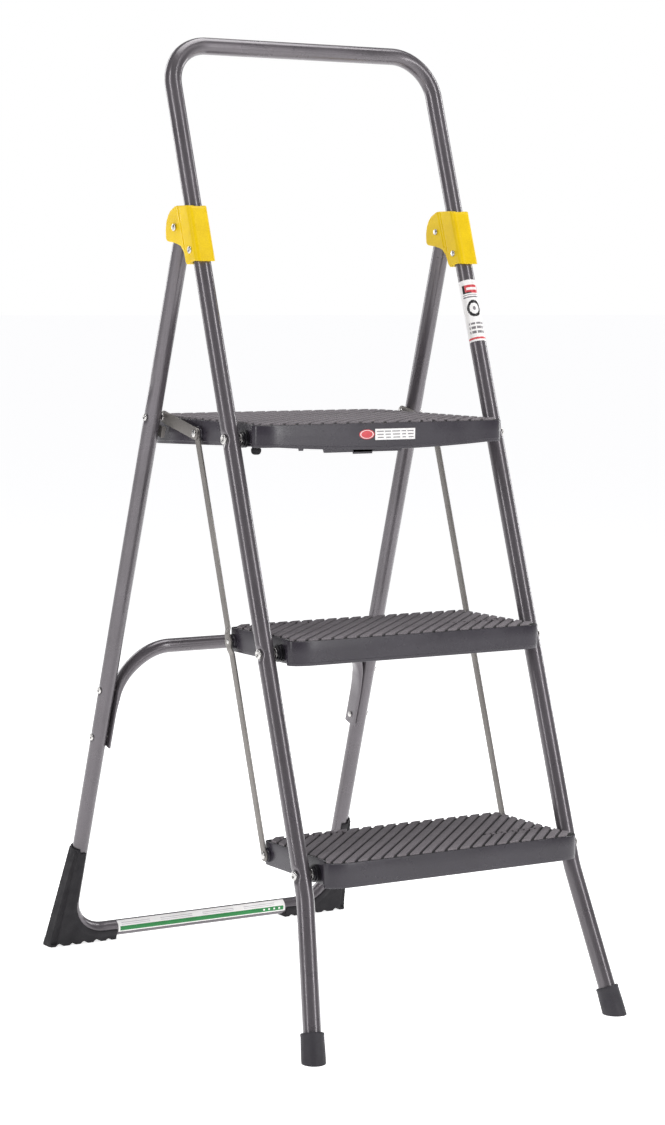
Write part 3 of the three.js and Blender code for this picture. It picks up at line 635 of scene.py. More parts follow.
def barShape(start, end, side, inner, thickness, halfWidth, eyes, eyeRadius, joggleAt=None):
    length = (end - start).length
    heading = (end - start).normalized()
    across = Vector((0, -heading.z, heading.y))
    marks = {0.0, length}
    for eye in eyes:
        for i in range(25):
            marks.add(eye + eyeRadius * math.sin(math.pi * (i / 24 - 0.5)))
    run = -eyeRadius
    while run < length + eyeRadius:
        marks.add(run)
        run += 6 * mm
    if joggleAt is not None:
        for i in range(33):
            marks.add(joggleAt + (i - 16) * 1.4 * mm)
    rings = []
    for run in sorted(marks):
        wide = halfWidth if 0 <= run <= length else 0.0
        for eye in eyes:
            gap = abs(run - eye)
            if gap < eyeRadius:
                wide = max(wide, math.sqrt(eyeRadius ** 2 - gap ** 2))
        wide = max(wide, 0.25 * mm)
        out = 0.0
        if joggleAt is not None:
            gap = (abs(run - joggleAt) - bars["joggleFlat"] * mm) / (bars["joggleRamp"] * mm)
            share = min(1.0, max(0.0, 1 - gap))
            out = bars["joggleOut"] * mm * share * share * (3 - 2 * share)
        edge = min(bars["edge"] * mm, wide * 0.8)
        half = thickness / 2
        middle = start + heading * run
        ring = []
        for cx, cw in ((1, 1), (-1, 1), (-1, -1), (1, -1)):
            for k in range(4):
                angle = math.pi / 2 * k / 3
                if cx * cw > 0:
                    dx, dw = math.cos(angle), math.sin(angle)
                else:
                    dx, dw = math.sin(angle), math.cos(angle)
                x = cx * (half - edge + edge * dx)
                w = cw * (wide - edge + edge * dw)
                place = middle + across * w
                ring.append(Vector((side * (inner + half + out + x), place.y, place.z)))
        rings.append(ring)
    return stitched(rings)


print("making the link bars and spreaders")
for word, side in sides:
    eyeCentres = []
    for row in stepPivots:
        eyeCentres.append(boxMiddle(f"{row}_link_rivet_{word}"))
    low, high = boxOf(f"link_bar_{word}")
    inner = innerFace(f"link_bar_{word}")
    top = Vector((0, eyeCentres[0].y, eyeCentres[0].z))
    foot = Vector((0, eyeCentres[2].y, eyeCentres[2].z))
    length = (foot - top).length
    points, faces = barShape(top, foot, side, inner, high.x - low.x, bars["linkHalfWidth"] * mm,
                             [0.0, length / 2, length], bars["linkEye"] * mm, length / 2)
    addPiece(f"link_strip_{word}", points, faces, "greyBar", f"link_{word}",
             [f"link_bar_{word}"])
    low, high = boxOf(f"spreader_{word}")
    inner = innerFace(f"spreader_{word}")
    end = boxMiddle(f"spreader_stud_{word}")
    end = Vector((0, end.y, end.z))
    length = (end - top).length
    points, faces = barShape(top, end, side, inner, high.x - low.x, bars["spreaderHalfWidth"] * mm,
                             [0.0, length], bars["spreaderHalfWidth"] * mm)
    addPiece(f"spreader_strip_{word}", points, faces, "greyBar", f"spreader_{word}",
             [f"spreader_{word}"])
    rivetPiece(f"spreader_pin_{word}", f"spreader_stud_{word}", f"spreader_{word}", "dome")

# Steps

steps = {
    "flareOut": 8.5,  # the front is this much wider than the rear, each side
    "cornerWidth": 37.0,
    "flareStart": -19.0,
    "flareEnd": -30.0,
    "wall": 2.8,
    "grooveDepth": 2.5,
    "deckThickness": 4.6,
    "linkBossRadius": 9.1,
    "stiffeners": (-90.0, 0.0, 90.0),
    "stiffenerHeight": 16.0,
    "stiffenerHalf": 1.2,
    "pivotBossRadius": 10.0,
    "bossBore": 3.4,
}
stepRows = {
    "platform": {"rearCorner": 30.0, "frontSkirt": 30.4, "rearSkirt": 39.4, "frontBow": 5.8},
    "middle_step": {"rearCorner": 7.0, "frontSkirt": 33.2, "rearSkirt": 33.2, "frontBow": 0.0},
    "bottom_step": {"rearCorner": 7.0, "frontSkirt": 33.2, "rearSkirt": 33.2, "frontBow": 0.0},
}
tread = {
    "pitch": 13.2,
    "halfWidth": 4.6,
    "edge": 0.6,
    "fromEdge": 1.7,
    "bandHalf": 4.6,  # a plain band crosses the ribs, with a row of small pads in it
    "padPitch": 8.6,
    "padHalf": 2.9,
    "padSlant": 1.6,
}
# each band: how far behind the front edge (or ahead of the rear one), then where it starts and ends across
treadBands = {
    "platform": ((9.0, 34.0, 142.0),),
    "middle_step": ((59.0, 78.0, 166.0), (-14.0, -166.0, -62.0)),
    "bottom_step": ((55.0, 76.0, 164.0), (-14.0, -166.0, -62.0)),
}


def stepEdge(row, inset):
    # the step's outline seen from above, in metres, with its edge drawn in by the inset
    low, high = boxOf(row)
    pivot = stepPivots[row]
    front = high.x / mm - inset
    rear = high.x / mm - steps["flareOut"] - inset
    frontY = (low.y - pivot.y) / mm + inset
    rearY = (high.y - pivot.y) / mm - inset
    corner = max(1.0, stepRows[row]["rearCorner"] - inset)
    startY = steps["flareStart"] + inset
    endY = steps["flareEnd"]
    middleY = (steps["flareStart"] + steps["flareEnd"]) / 2
    half = []
    for i in range(13):
        half.append((max(front - steps["cornerWidth"], 1.0) * i / 12, frontY))
    for i in range(1, 13):
        t = i / 12
        a, b, c = (1 - t) ** 2, 2 * t * (1 - t), t * t
        half.append(((a * (front - steps["cornerWidth"]) + (b + c) * front), (a + b) * frontY + c * endY))
    for i in range(1, 13):
        t = i / 12
        a, b, c, d = (1 - t) ** 3, 3 * t * (1 - t) ** 2, 3 * t * t * (1 - t), t ** 3
        half.append(((a + b) * front + (c + d) * rear, a * endY + (b + c) * middleY + d * startY))
    for i in range(1, 15):
        half.append((rear, startY + (rearY - corner - startY) * i / 14))
    for i in range(1, 10):
        t = i / 9
        a, b, c = (1 - t) ** 2, 2 * t * (1 - t), t * t
        half.append(((a + b) * rear + c * (rear - corner), a * (rearY - corner) + (b + c) * rearY))
    for i in range(1, 13):
        half.append(((rear - corner) * (1 - i / 12), rearY))
    other = [(-x, y) for x, y in reversed(half[1:-1])]
    return [Vector((x * mm, y * mm + pivot.y)) for x, y in half + other]


def skirtBottom(row, point):
    top = boxOf(row)[1].z
    shape = stepRows[row]
    pivot = stepPivots[row]
    reach = boxOf(row)[1].y - pivot.y
    share = min(1.0, max(0.0, (point.y - pivot.y) / reach))
    depth = shape["frontSkirt"] + (shape["rearSkirt"] - shape["frontSkirt"]) * share
    if shape["frontBow"] and point.y < pivot.y - 20 * mm:
        depth += shape["frontBow"] * max(0.0, 1 - (point.x / (158 * mm)) ** 2)
    return top - depth * mm


def stepShell(row):
    top = boxOf(row)[1].z
    deck = top - steps["grooveDepth"] * mm
    under = top - steps["deckThickness"] * mm
    wall = steps["wall"]

    def skirt(lift):
        return lambda p: skirtBottom(row, p) + lift * mm

    levels = [
        (9.0, lambda p: deck), (1.7, lambda p: deck), (0.8, lambda p: deck - 0.15 * mm),
        (0.25, lambda p: deck - 0.6 * mm), (0.0, lambda p: deck - 1.4 * mm),
        (0.0, lambda p: deck * 0.5 + skirtBottom(row, p) * 0.5),
        (0.0, skirt(4.2)), (0.35, skirt(3.8)), (0.35, skirt(0.7)), (0.55, skirt(0.2)),
        (1.0, skirt(0.0)), (wall - 0.5, skirt(0.0)), (wall, skirt(0.5)), (wall, lambda p: under)]
    rings = []
    for inset, level in levels:
        rings.append([Vector((p.x, p.y, level(p))) for p in stepEdge(row, inset)])
    return stitched(rings)


def beam(x, y, z):
    corners = [Vector((a, b, c)) for c in z for b in y for a in x]
    return corners, [(0, 2, 3, 1), (4, 5, 7, 6), (0, 1, 5, 4), (2, 6, 7, 3), (0, 4, 6, 2), (1, 3, 7, 5)]


def stepUnderside(row):
    low, high = boxOf(row)
    pivot = stepPivots[row]
    under = high.z - steps["deckThickness"] * mm
    bottom = under - steps["stiffenerHeight"] * mm
    rear = high.x - steps["flareOut"] * mm
    thin, bore = steps["stiffenerHalf"] * mm, steps["bossBore"] * mm
    parts = []
    for x in steps["stiffeners"]:
        parts.append(beam((x * mm - thin, x * mm + thin),
                          (low.y + 1.5 * mm, high.y - 1.5 * mm), (bottom, under + mm)))
    for y in (pivot.y + 28 * mm, high.y - 62 * mm):
        parts.append(beam((-rear + 1.5 * mm, rear - 1.5 * mm), (y - thin, y + thin),
                          (bottom, under + mm)))
    for word, side in sides:
        rivet = f"{row}_link_rivet_{word}"
        start = innerFace(rivet) + 2.2 * mm
        for centre, radius, reach in (
                (boxMiddle(rivet), steps["linkBossRadius"], rear + 3.4 * mm),
                (pivot, steps["pivotBossRadius"], rear - 0.4 * mm)):
            boss = turnedShape([(bore, 0), ((radius - 0.5) * mm, 0), (radius * mm, 0.5 * mm),
                                (radius * mm, reach - start - 0.5 * mm), ((radius - 0.5) * mm, reach - start),
                                (bore, reach - start)], 36)
            turn = Matrix.Translation((side * start, centre.y, centre.z)) @ Matrix.Rotation(
                side * math.pi / 2, 4, "Y")
            parts.append(([turn @ p for p in boss[0]], boss[1]))
    return parts


def crossings(outline, origin, heading):
    # how far along a line it enters and leaves an outline
    found = []
    for a, b in zip(outline, outline[1:] + outline[:1]):
        edge = b - a
        spread = heading.x * edge.y - heading.y * edge.x
        if abs(spread) < 1e-12:
            continue
        gap = a - origin
        along = (gap.x * edge.y - gap.y * edge.x) / spread
        share = (gap.x * heading.y - gap.y * heading.x) / spread
        if 0 <= share < 1:
            found.append(along)
    return (min(found), max(found)) if len(found) >= 2 else None


def ribShape(start, end, origin, heading, base, top):
    # start and end hold how far along the rib's two sides and middle it begins and stops
    across = Vector((-heading.y, heading.x))
    half = tread["halfWidth"] * mm
    edge = tread["edge"] * mm
    rings = []
    for inset, level in ((0, base), (0, top - edge), (edge * 0.3, top - edge * 0.3), (edge, top)):
        ring = []
        for share, along in zip((-1, 0, 1), start):
            spot = origin + across * (share * (half - inset)) + heading * (along + inset)
            ring.append(Vector((spot.x, spot.y, level)))
        for share, along in reversed(list(zip((-1, 0, 1), end))):
            spot = origin + across * (share * (half - inset)) + heading * (along - inset)
            ring.append(Vector((spot.x, spot.y, level)))
        rings.append(ring)
    return stitched(rings)


def padShape(x, y, base, top):
    half, tall, slant = tread["padHalf"] * mm, (tread["bandHalf"] - 1.5) * mm, tread["padSlant"] * mm
    rings = []
    for inset, level in ((0, base), (0, top - 0.5 * mm), (0.45 * mm, top)):
        wide, long = half - inset, tall - inset
        rings.append([Vector((x + a * wide + b * slant, y + b * long, level))
                      for a, b in ((-1, -1), (1, -1), (1, 1), (-1, 1))])
    return stitched(rings)


def treadShape(row):
    low, high = boxOf(row)
    pivot = stepPivots[row]
    top = high.z - 0.02 * mm
    base = high.z - steps["grooveDepth"] * mm - 0.3 * mm
    inner = stepEdge(row, tread["fromEdge"])
    heading = Vector((1, 1)).normalized()
    across = Vector((-heading.y, heading.x))
    half = tread["halfWidth"] * mm
    bands = [((low.y if place > 0 else high.y) + place * mm, left * mm, right * mm)
             for place, left, right in treadBands[row]]
    parts = []
    for k in range(-30, 31):
        origin = Vector((0, pivot.y + 40 * mm)) + across * (k * tread["pitch"] * mm)
        spans = [crossings(inner, origin + across * (share * half), heading) for share in (-1, 0, 1)]
        known = [span for span in spans if span is not None]
        if len(known) < 3:
            continue
        pieces = [([span[0] for span in spans], [span[1] for span in spans])]
        for bandY, left, right in bands:
            kept = []
            for start, end in pieces:
                middle = (bandY - origin.y) / heading.y
                x = origin.x + heading.x * middle
                if left < x < right and start[1] < middle < end[1]:
                    reach = tread["bandHalf"] * mm
                    stops = [(bandY - reach - origin.y - across.y * share * half) / heading.y
                             for share in (-1, 0, 1)]
                    begins = [(bandY + reach - origin.y - across.y * share * half) / heading.y
                              for share in (-1, 0, 1)]
                    kept += [(start, stops), (begins, end)]
                else:
                    kept.append((start, end))
            pieces = kept
        for start, end in pieces:
            if min(b - a for a, b in zip(start, end)) > 2.2 * mm:
                parts.append(ribShape(start, end, origin, heading, base, top))
    for bandY, left, right in bands:
        count = int((right - left) / (tread["padPitch"] * mm))
        for i in range(count):
            parts.append(padShape(left + (i + 0.6) * tread["padPitch"] * mm, bandY, base, top))
    return merged(parts)


# small lips that show under the platform's front skirt: left, right, lowest height, slope of the ends
platformLips = ((-128.0, -120.2, 718.4, 1.2), (-93.0, 28.0, 715.0, 3.0), (-48.5, -17.5, 712.6, 1.6))
print("making the steps")
for row in stepPivots:
    shell = stepShell(row)
    points, faces = merged([shell] + stepUnderside(row))
    # the deck faces between the ribs take the near-black finish, which paints shade into the grooves
    kinds = []
    for face in faces:
        high = all(points[j].z > boxOf(row)[1].z - (steps["grooveDepth"] + 0.2) * mm for j in face)
        kinds.append(1 if high else 0)
    addPiece(f"{row}_moulding", points, faces, "skirtPlastic", row, [row],
             smooth=32, faceFinish=kinds, extra=("groovePaintedShade",))
    if row == "platform":
        lips = []
        for left, right, low, slope in platformLips:
            outline = [(left, 724.0), (left + slope, low), (right - slope, low), (right, 724.0)]
            frontY = boxOf(row)[0].y
            lips.append(prism(inMetres(outline), frontY + 1.2 * mm, frontY + 3.6 * mm, "y"))
        lipPoints, lipFaces = merged(lips)
        addPiece("platform_front_lip", lipPoints, lipFaces, "skirtPlastic", row)
    points, faces = treadShape(row)
    addPiece(f"{row}_tread_ribs", points, faces, "treadGrey", row, smooth=40)

# The bumper under the platform

bumperProfile = [(0, 0), (2.6, 0.05), (4.4, 0.7), (5.6, 2.0), (6.3, 3.6), (6.5, 5.2), (6.4, 7.4),
                 (5.6, 8.0), (5.6, 8.6), (2.5, 8.7), (2.5, 17.8), (0, 17.8)]
low, high = boxOf("platform_bumper")
points, faces = turnedShape(inMetres(bumperProfile), 36)
place = Matrix.Translation(((low.x + high.x) / 2, (low.y + high.y) / 2, low.z))
addPiece("platform_stop_knob", points, faces, "bootRubber", "platform",
         ["platform_bumper"], place)

# Front feet

frontFeet = {"radius": 15.0, "length": 36.0, "mouth": 11.5}
print("making the feet")
for word, side in sides:
    bottom = Vector((side * footX, 0, 0))
    toward = (Vector((side * railX, 0, flareTop)) - bottom).normalized()
    r, tall, mouth = frontFeet["radius"], frontFeet["length"], frontFeet["mouth"]
    profile = [(0, -9), (r - 0.4, -9), (r - 0.15, 2.2), (r - 0.05, 6), (r - 0.3, tall * 0.5),
               (r - 0.75, tall - 4.2), (r - 0.45, tall - 3.2), (r - 0.45, tall - 1.2), (r - 1.1, tall - 0.2),
               (r - 2.0, tall), (mouth + 0.4, tall), (mouth, tall - 0.8), (mouth, 7.5), (0, 7.5)]
    points, faces = turnedShape(inMetres(profile), 48)
    turn = toward.to_track_quat("Z", "Y").to_matrix().to_4x4()
    place = railSpace @ Matrix.Translation(bottom) @ turn
    skin = skinFrom([place @ Vector(p) for p in points], faces)
    bmesh.ops.bisect_plane(skin, geom=[*skin.verts, *skin.edges, *skin.faces], dist=1e-7,
                           plane_co=(0, 0, 0.05 * mm), plane_no=(0, 0, -1), clear_outer=True)
    bmesh.ops.holes_fill(skin, edges=[e for e in skin.edges if e.is_boundary], sides=0)
    points, faces = skinData(skin)
    addPiece(f"front_rubber_foot_{word}", points, faces, "footRubber", "front_frame",
             [f"front_foot_{word}"], smooth=50)

# Solid shaping for the brackets and boots


def solidObject(name, points, faces, place=None):
    mesh = bpy.data.meshes.new(name)
    if place is not None:
        points = [place @ Vector(p) for p in points]
    mesh.from_pydata([tuple(p) for p in points], [], faces)
    skin = bmesh.new()
    skin.from_mesh(mesh)
    bmesh.ops.recalc_face_normals(skin, faces=skin.faces)
    bmesh.ops.triangulate(skin, faces=[f for f in skin.faces if len(f.verts) > 4])
    skin.to_mesh(mesh)
    skin.free()
    return linked(name, mesh)


def applied(thing):
    graph = bpy.context.evaluated_depsgraph_get()
    mesh = bpy.data.meshes.new_from_object(thing.evaluated_get(graph))
    thing.modifiers.clear()
    old = thing.data
    thing.data = mesh
    bpy.data.meshes.remove(old)
    return thing


def combine(base, tools, operation):
    for tool in tools:
        step = base.modifiers.new("cut", "BOOLEAN")
        step.object = tool
        step.operation = operation
        step.solver = "EXACT"
        applied(base)
        bpy.data.objects.remove(tool)
    return base


def softened(thing, voxel, rounds):
    remesh = thing.modifiers.new("even", "REMESH")
    remesh.mode = "VOXEL"
    remesh.voxel_size = voxel
    soft = thing.modifiers.new("soft", "SMOOTH")
    soft.factor = 0.5
    soft.iterations = rounds
    return applied(thing)


def bothSides(thing, name, finishName, body, node):
    # the right one as it was shaped, and its mirror image at the left
    points = [v.co.copy() for v in thing.data.vertices]
    faces = [tuple(p.vertices) for p in thing.data.polygons]
    addPiece(f"{name}_right", points, faces, finishName, body, [f"{node}_right"], smooth=60)
    points = [Vector((-p.x, p.y, p.z)) for p in points]
    faces = [tuple(reversed(face)) for face in faces]
    addPiece(f"{name}_left", points, faces, finishName, body, [f"{node}_left"], smooth=60)
    bpy.data.objects.remove(thing)


def arcPoints(centre, radius, start, end, count):
    return [(centre[0] + radius * math.cos(math.radians(start + (end - start) * i / count)),
             centre[1] + radius * math.sin(math.radians(start + (end - start) * i / count)))
            for i in range(count + 1)]


# Hinge brackets

bracket = {
    "sleeveFront": -14.7,
    "sleeveBack": 14.7,
    "innerX": 186.7,
    "outerX": 215.0,
    "above": 27.4,  # level top, above the hinge
    "below": 45.6,
    "lobe": 27.0,
    "cheekStep": 1.5,  # the thin rear cheek stands back from the sleeve's face
    "grooveWidth": 2.6,
    "grooveDepth": 1.5,
    "innerGrooveDepth": 0.8,
    "boreRadius": 11.35,
    "pocketHalf": 11.8,
    "pocketReach": 15.6,
    "cornerRound": 6.5,
    "voxel": 0.62,
}
hingeRail = railSpace.inverted() @ hinge
setback, hingeAlong = hingeRail.y / mm, hingeRail.z / mm


def levelAt(height, behind):
    return (hinge.z / mm + height + behind * math.sin(railLean)) / math.cos(railLean)


def bracketSolid():
    front, back = bracket["sleeveFront"], bracket["sleeveBack"]
    above, below, lobe = bracket["above"], -bracket["below"], bracket["lobe"]
    side = [(front, levelAt(below + 2.5, front)), (front + 6, levelAt(below + 3.2, front + 6)),
            (0, levelAt(below + 2.5, 0)), (back - 5, levelAt(below - 1.0, back - 5)),
            (back - 1, levelAt(below - 1.5, back - 1)), (back + 2.2, hingeAlong - 50),
            (back + 2.6, hingeAlong - 44), (back + 4.6, hingeAlong - 36), (back + 9.4, hingeAlong - 27.6),
            (setback, hingeAlong - 22.8), (setback + 10, hingeAlong - 17),
            (setback + lobe - 5, hingeAlong - 11.5), (setback + lobe - 1.5, hingeAlong - 9.5),
            (setback + lobe + 0.6, hingeAlong - 5.5)]
    curve = [(lobe - 1.2, 2), (lobe - 3.4, 8), (lobe - 7.5, 15), (lobe - 13.6, 20.6), (lobe - 21, 24.2)]
    side += [(setback + a, hingeAlong + b) for a, b in curve]
    side += [(setback - 8, levelAt(above, setback - 8) - 0.6), (setback - 13, levelAt(above, setback - 13)),
             (front + 5, levelAt(above, front + 5)), (front + 1.6, levelAt(above, front + 1.6) - 1.2),
             (front, levelAt(above, front) - 4.5)]
    base = solidObject("bracket_base", *prism(inMetres(side), bracket["innerX"] * mm,
                                              bracket["outerX"] * mm, "x"))
    # plan section: rounded front corners, and a thinner cheek behind the sleeve
    r = bracket["cornerRound"]
    inner, outer = bracket["innerX"], bracket["outerX"]
    section = arcPoints((outer - r, front + r), r, 0, -90, 8)
    section += arcPoints((inner + r, front + r), r, -90, -180, 8)
    section += [(inner, 70), (outer - bracket["cheekStep"], 70), (outer - bracket["cheekStep"], back + 3.5),
                (outer - bracket["cheekStep"] * 0.8, back + 2.0), (outer, back + 0.6)]
    plan = solidObject("bracket_plan", *prism(inMetres(section), (hingeAlong - 120) * mm,
                                              (hingeAlong + 120) * mm, "z"))
    combine(base, [plan], "INTERSECT")
    # the rail's bore, the leg's pocket and the grooves on each face
    wide = bracket["boreRadius"]
    bore = turnedShape(inMetres([(0, hingeAlong - 130), (wide, hingeAlong - 130),
                                 (wide, hingeAlong + 130), (0, hingeAlong + 130)]), 40)
    bore = solidObject("bracket_bore", *bore, Matrix.Translation((railX, 0, 0)))
    half, reach = bracket["pocketHalf"], bracket["pocketReach"]
    opened = railLean + rearLean
    startAngle = math.degrees(opened - math.acos(half / reach))
    pocket = arcPoints((setback, hingeAlong), reach, startAngle, 180, 14)
    pocket += [(setback - reach, hingeAlong - 4), (setback - half, hingeAlong - 12),
               (setback - half, hingeAlong - 90), (setback + 90, hingeAlong - 90),
               (setback + half * math.cos(opened) + 90 * math.sin(opened),
                hingeAlong + half * math.sin(opened) - 90 * math.cos(opened))]
    pocket = solidObject("bracket_pocket", *prism(inMetres(pocket), (railX / mm - half) * mm,
                                                  (railX / mm + half) * mm, "x"))
    tools = [bore, pocket]
    outerCut, innerCut = outer - bracket["grooveDepth"], inner + bracket["innerGrooveDepth"]
    half = bracket["grooveWidth"] / 2
    grooves = [(outerCut, outer + 4, 13.0, hingeAlong - 36), (inner - 4, innerCut, 13.5, hingeAlong - 34),
               (inner - 4, innerCut, 18.5, hingeAlong - 26)]
    for low, high, behind, bottom in grooves:
        slot = arcPoints((behind, bottom), half, 180, 360, 6) + [(behind + half, hingeAlong + 80),
                                                                 (behind - half, hingeAlong + 80)]
        tools.append(solidObject("bracket_groove", *prism(inMetres(slot), low * mm, high * mm, "x")))
    combine(base, tools, "DIFFERENCE")
    base.data.transform(railSpace)
    return softened(base, bracket["voxel"] * mm, 4)


print("making the hinge brackets")
bothSides(bracketSolid(), "yellow_bracket", "yellowPlastic", "front_frame",
          "hinge_bracket")

# Rear boots

boot = {
    "wall": 2.6,
    "topHeight": 148.0,
    "webHalf": 9.5,
    "toeOut": 28.0,
    "alongFloor": 75.6,
    "lugPitch": 19.0,
    "lugRadius": 5.2,
    "lugCentreHeight": -1.9,
    "bore": 11.2,
    "padHalf": 12.5,
    "voxel": 0.8,
}


def bootSolid():
    corner = crossbarDrop / mm
    top = downLeg(boot["topHeight"] * mm) / mm

    def x(drop):
        return legX(drop * mm) / mm

    radius = 11.1 + boot["wall"]
    bend = rearTube["cornerBend"]
    toe = x(corner) + boot["toeOut"]
    innerEnd = x(corner) - boot["alongFloor"]
    route = [Vector((x(top) * mm, 0, -top * mm)), Vector((x(corner) * mm, 0, -corner * mm)),
             Vector((innerEnd * mm, 0, -corner * mm))]
    sleeve = tubeShape(routeStations(route, [bend * mm]), radius * mm, Vector((0, 1, 0)), count=32)
    base = solidObject("boot_base", *sleeve)
    # two webs fill the corner: a thin one out to the toe, and a thicker one set back from its edge
    for half, inset in ((boot["webHalf"], 0.0), (radius - 1.2, 9.0)):
        web = [(x(top) + radius - 1.5 - inset * 0.3, -top - 2), (toe - inset - 0.4, -corner - 8),
               (toe + 0.6 - inset, -corner - 24), (innerEnd, -corner - 24), (innerEnd, -corner),
               (x(corner) - bend, -corner)]
        web += arcPoints((x(corner) - bend, -(corner - bend)), bend, -90, 0, 10)
        web = prism(inMetres(web), -half * mm, half * mm, "y")
        combine(base, [solidObject("boot_web", *web)], "UNION")
    # a wider sole pad along the floor
    pad = [(toe - 1.5, -corner - 8), (toe - 0.2, -corner - 24), (innerEnd + 3, -corner - 24),
           (innerEnd, -corner - 6)]
    pad = prism(inMetres(pad), -boot["padHalf"] * mm, boot["padHalf"] * mm, "y")
    combine(base, [solidObject("boot_pad", *pad)], "UNION")
    # the tube's own space, and an opening inside the bend where the tube shows
    hollow = tubeShape(routeStations([Vector((x(top - 60) * mm, 0, -(top - 60) * mm)), route[1],
                                      Vector((0.05, 0, -corner * mm))], [bend * mm]),
                       boot["bore"] * mm, Vector((0, 1, 0)), count=32)
    inside = [(x(top - 50) - 4.5, -(top - 50)), (x(corner - bend) - 4.5, -(corner - bend))]
    inside += arcPoints((x(corner) - bend, -(corner - bend)), bend - 4.0, 0, -90, 10)
    inside += [(innerEnd - 40, -corner + 4.0), (innerEnd - 40, -top + 50), (x(top - 50) - 60, -top + 50)]
    opening = solidObject("boot_opening", *prism(inMetres(inside), -40 * mm, 40 * mm, "y"))
    notch = solidObject("boot_notch", *beam(((x(top) - 20) * mm, (x(top) + 5) * mm), (-20 * mm, 20 * mm),
                                            ((-top - 5) * mm, (-top + 20) * mm)))
    combine(base, [solidObject("boot_hollow", *hollow), opening, notch], "DIFFERENCE")
    base.data.transform(legSpace)
    # the sole is level with the floor and has round lugs across it
    slab = solidObject("boot_floor", *beam((-0.1, 0.4), (-0.2, 0.6), (-0.1, 0.0)))
    tools = [slab]
    place = toe - 15
    index = 0
    while place > innerEnd + 2:
        size = boot["lugRadius"] + (0.9, -0.5, 0.4)[index % 3]
        groove = turnedShape([(0, -60 * mm), (size * mm, -60 * mm), (size * mm, 60 * mm), (0, 60 * mm)], 20)
        spot = (place * mm, boxOf("rear_boot_right")[1].y - 30 * mm, boot["lugCentreHeight"] * mm)
        turn = Matrix.Translation(spot) @ Matrix.Rotation(math.pi / 2, 4, "X")
        tools.append(solidObject("boot_groove", *groove, turn))
        place -= boot["lugPitch"] + (1.2, -0.8)[index % 2]
        index += 1
    combine(base, tools, "DIFFERENCE")
    return softened(base, boot["voxel"] * mm, 5)


print("making the rear boots")
bothSides(bootSolid(), "rear_rubber_boot", "bootRubber", "rear_frame", "rear_boot")

# Stop tabs

for word, side in sides:
    tab = frame["nodes"][f"stop_tab_{word}"]
    rounding = tab.modifiers.new("rounded", "BEVEL")
    rounding.width = 0.35 * mm
    rounding.segments = 2
    tab.data.materials.clear()
    tab.data.materials.append(finishes["greyBar"])

# Plain labels, with coloured bands and no words

print("adding the labels")


def curvedLabel(name, space, start, along, length, facing, spread, paint, body):
    # a thin sheet wrapped on a tube; paint(t, u) names the finish at t along it and u round it
    normal = Vector((0, 1, 0))
    across = along.cross(normal).normalized()
    rows, columns = 96, 44
    outer, back = [], []
    for i in range(rows + 1):
        for level, store in ((tubeRadius + 0.12 * mm, outer), (tubeRadius - 0.05 * mm, back)):
            for j in range(columns + 1):
                angle = math.radians(facing + spread * (j / columns - 0.5))
                spot = start + along * (length * i / rows)
                store.append(spot + (across * math.cos(angle) + normal * math.sin(angle)) * level)
    width, shift = columns + 1, len(outer)
    faces, kinds = [], []
    inks = ("labelWhite", "labelGreen", "labelRed", "labelGrey", "labelFaint", "labelBlack")
    for i in range(rows):
        for j in range(columns):
            a, b, c, d = i * width + j, i * width + j + 1, (i + 1) * width + j + 1, (i + 1) * width + j
            faces += [(a, b, c, d), (shift + d, shift + c, shift + b, shift + a)]
            kinds += [inks.index(paint((i + 0.5) / rows, (j + 0.5) / columns)), 0]
        for j in (0, columns):
            a, d = i * width + j, (i + 1) * width + j
            faces.append((a, d, shift + d, shift + a))
            kinds.append(0)
    for j in range(columns):
        for i in (0, rows):
            a, b = i * width + j, i * width + j + 1
            faces.append((a, b, shift + b, shift + a))
            kinds.append(0)
    return addPiece(name, outer + back, faces, "labelWhite", body, place=space, smooth=50,
                    faceFinish=kinds, extra=inks[1:])


# on the front rail, below the bracket
railLabel = {"from": 852.0, "to": 932.5, "lower": 2.4, "facing": -57.0, "spread": 172.0}


def railPaint(t, u):
    if 0.035 < t < 0.06 and u < 0.95:
        return "labelRed"
    if 0.1 < u < 0.76 and any(low < t < low + 0.035 for low in (0.13, 0.2, 0.27)):
        return "labelWhite" if int(u * 23) % 5 == 0 else "labelGrey"
    ring = math.hypot((t - 0.53) / 0.135, (u - 0.4) / 0.3)
    if 0.66 < ring < 1.0:
        return "labelBlack"
    if ring < 0.22:
        return "labelGrey"
    if 0.08 < u < 0.8 and (0.71 < t < 0.725 or 0.745 < t < 0.76):
        return "labelGrey"
    if 0.78 < t < 0.92 and 0.06 < u < 0.78:
        if 0.83 < t < 0.87 and 0.12 < u < 0.6:
            return "labelWhite"
        return "labelBlack" if u > 0.66 or (t < 0.8 and u > 0.4) else "labelRed"
    return "labelWhite"


railStart = Vector((railX, 0, alongRail(railLabel["from"] * mm) - railLabel["lower"] * mm))
curvedLabel("rail_label", railSpace, railStart, Vector((0, 0, 1)),
            alongRail((railLabel["to"] - railLabel["from"]) * mm), railLabel["facing"], railLabel["spread"],
            railPaint, "front_frame")

# on the rear frame's crossbar
barLabel = {"half": 137.0, "facing": -49.0, "spread": 95.0}


def barPaint(t, u):
    if not 0.008 < t < 0.992:
        return "labelWhite"
    if 0.09 < u < 0.44:
        return "labelWhite" if t > 0.86 and 0.2 < u < 0.34 and int(t * 190) % 3 == 0 else "labelGreen"
    if 0.02 < t < 0.97 and int(t * 16) % 4 != 3 and (0.54 < u < 0.6 or 0.68 < u < 0.74):
        return "labelFaint"
    return "labelWhite"


curvedLabel("crossbar_label", legSpace, Vector((-barLabel["half"] * mm, 0, -crossbarDrop)), Vector((1, 0, 0)),
            2 * barLabel["half"] * mm, barLabel["facing"], barLabel["spread"], barPaint, "rear_frame")

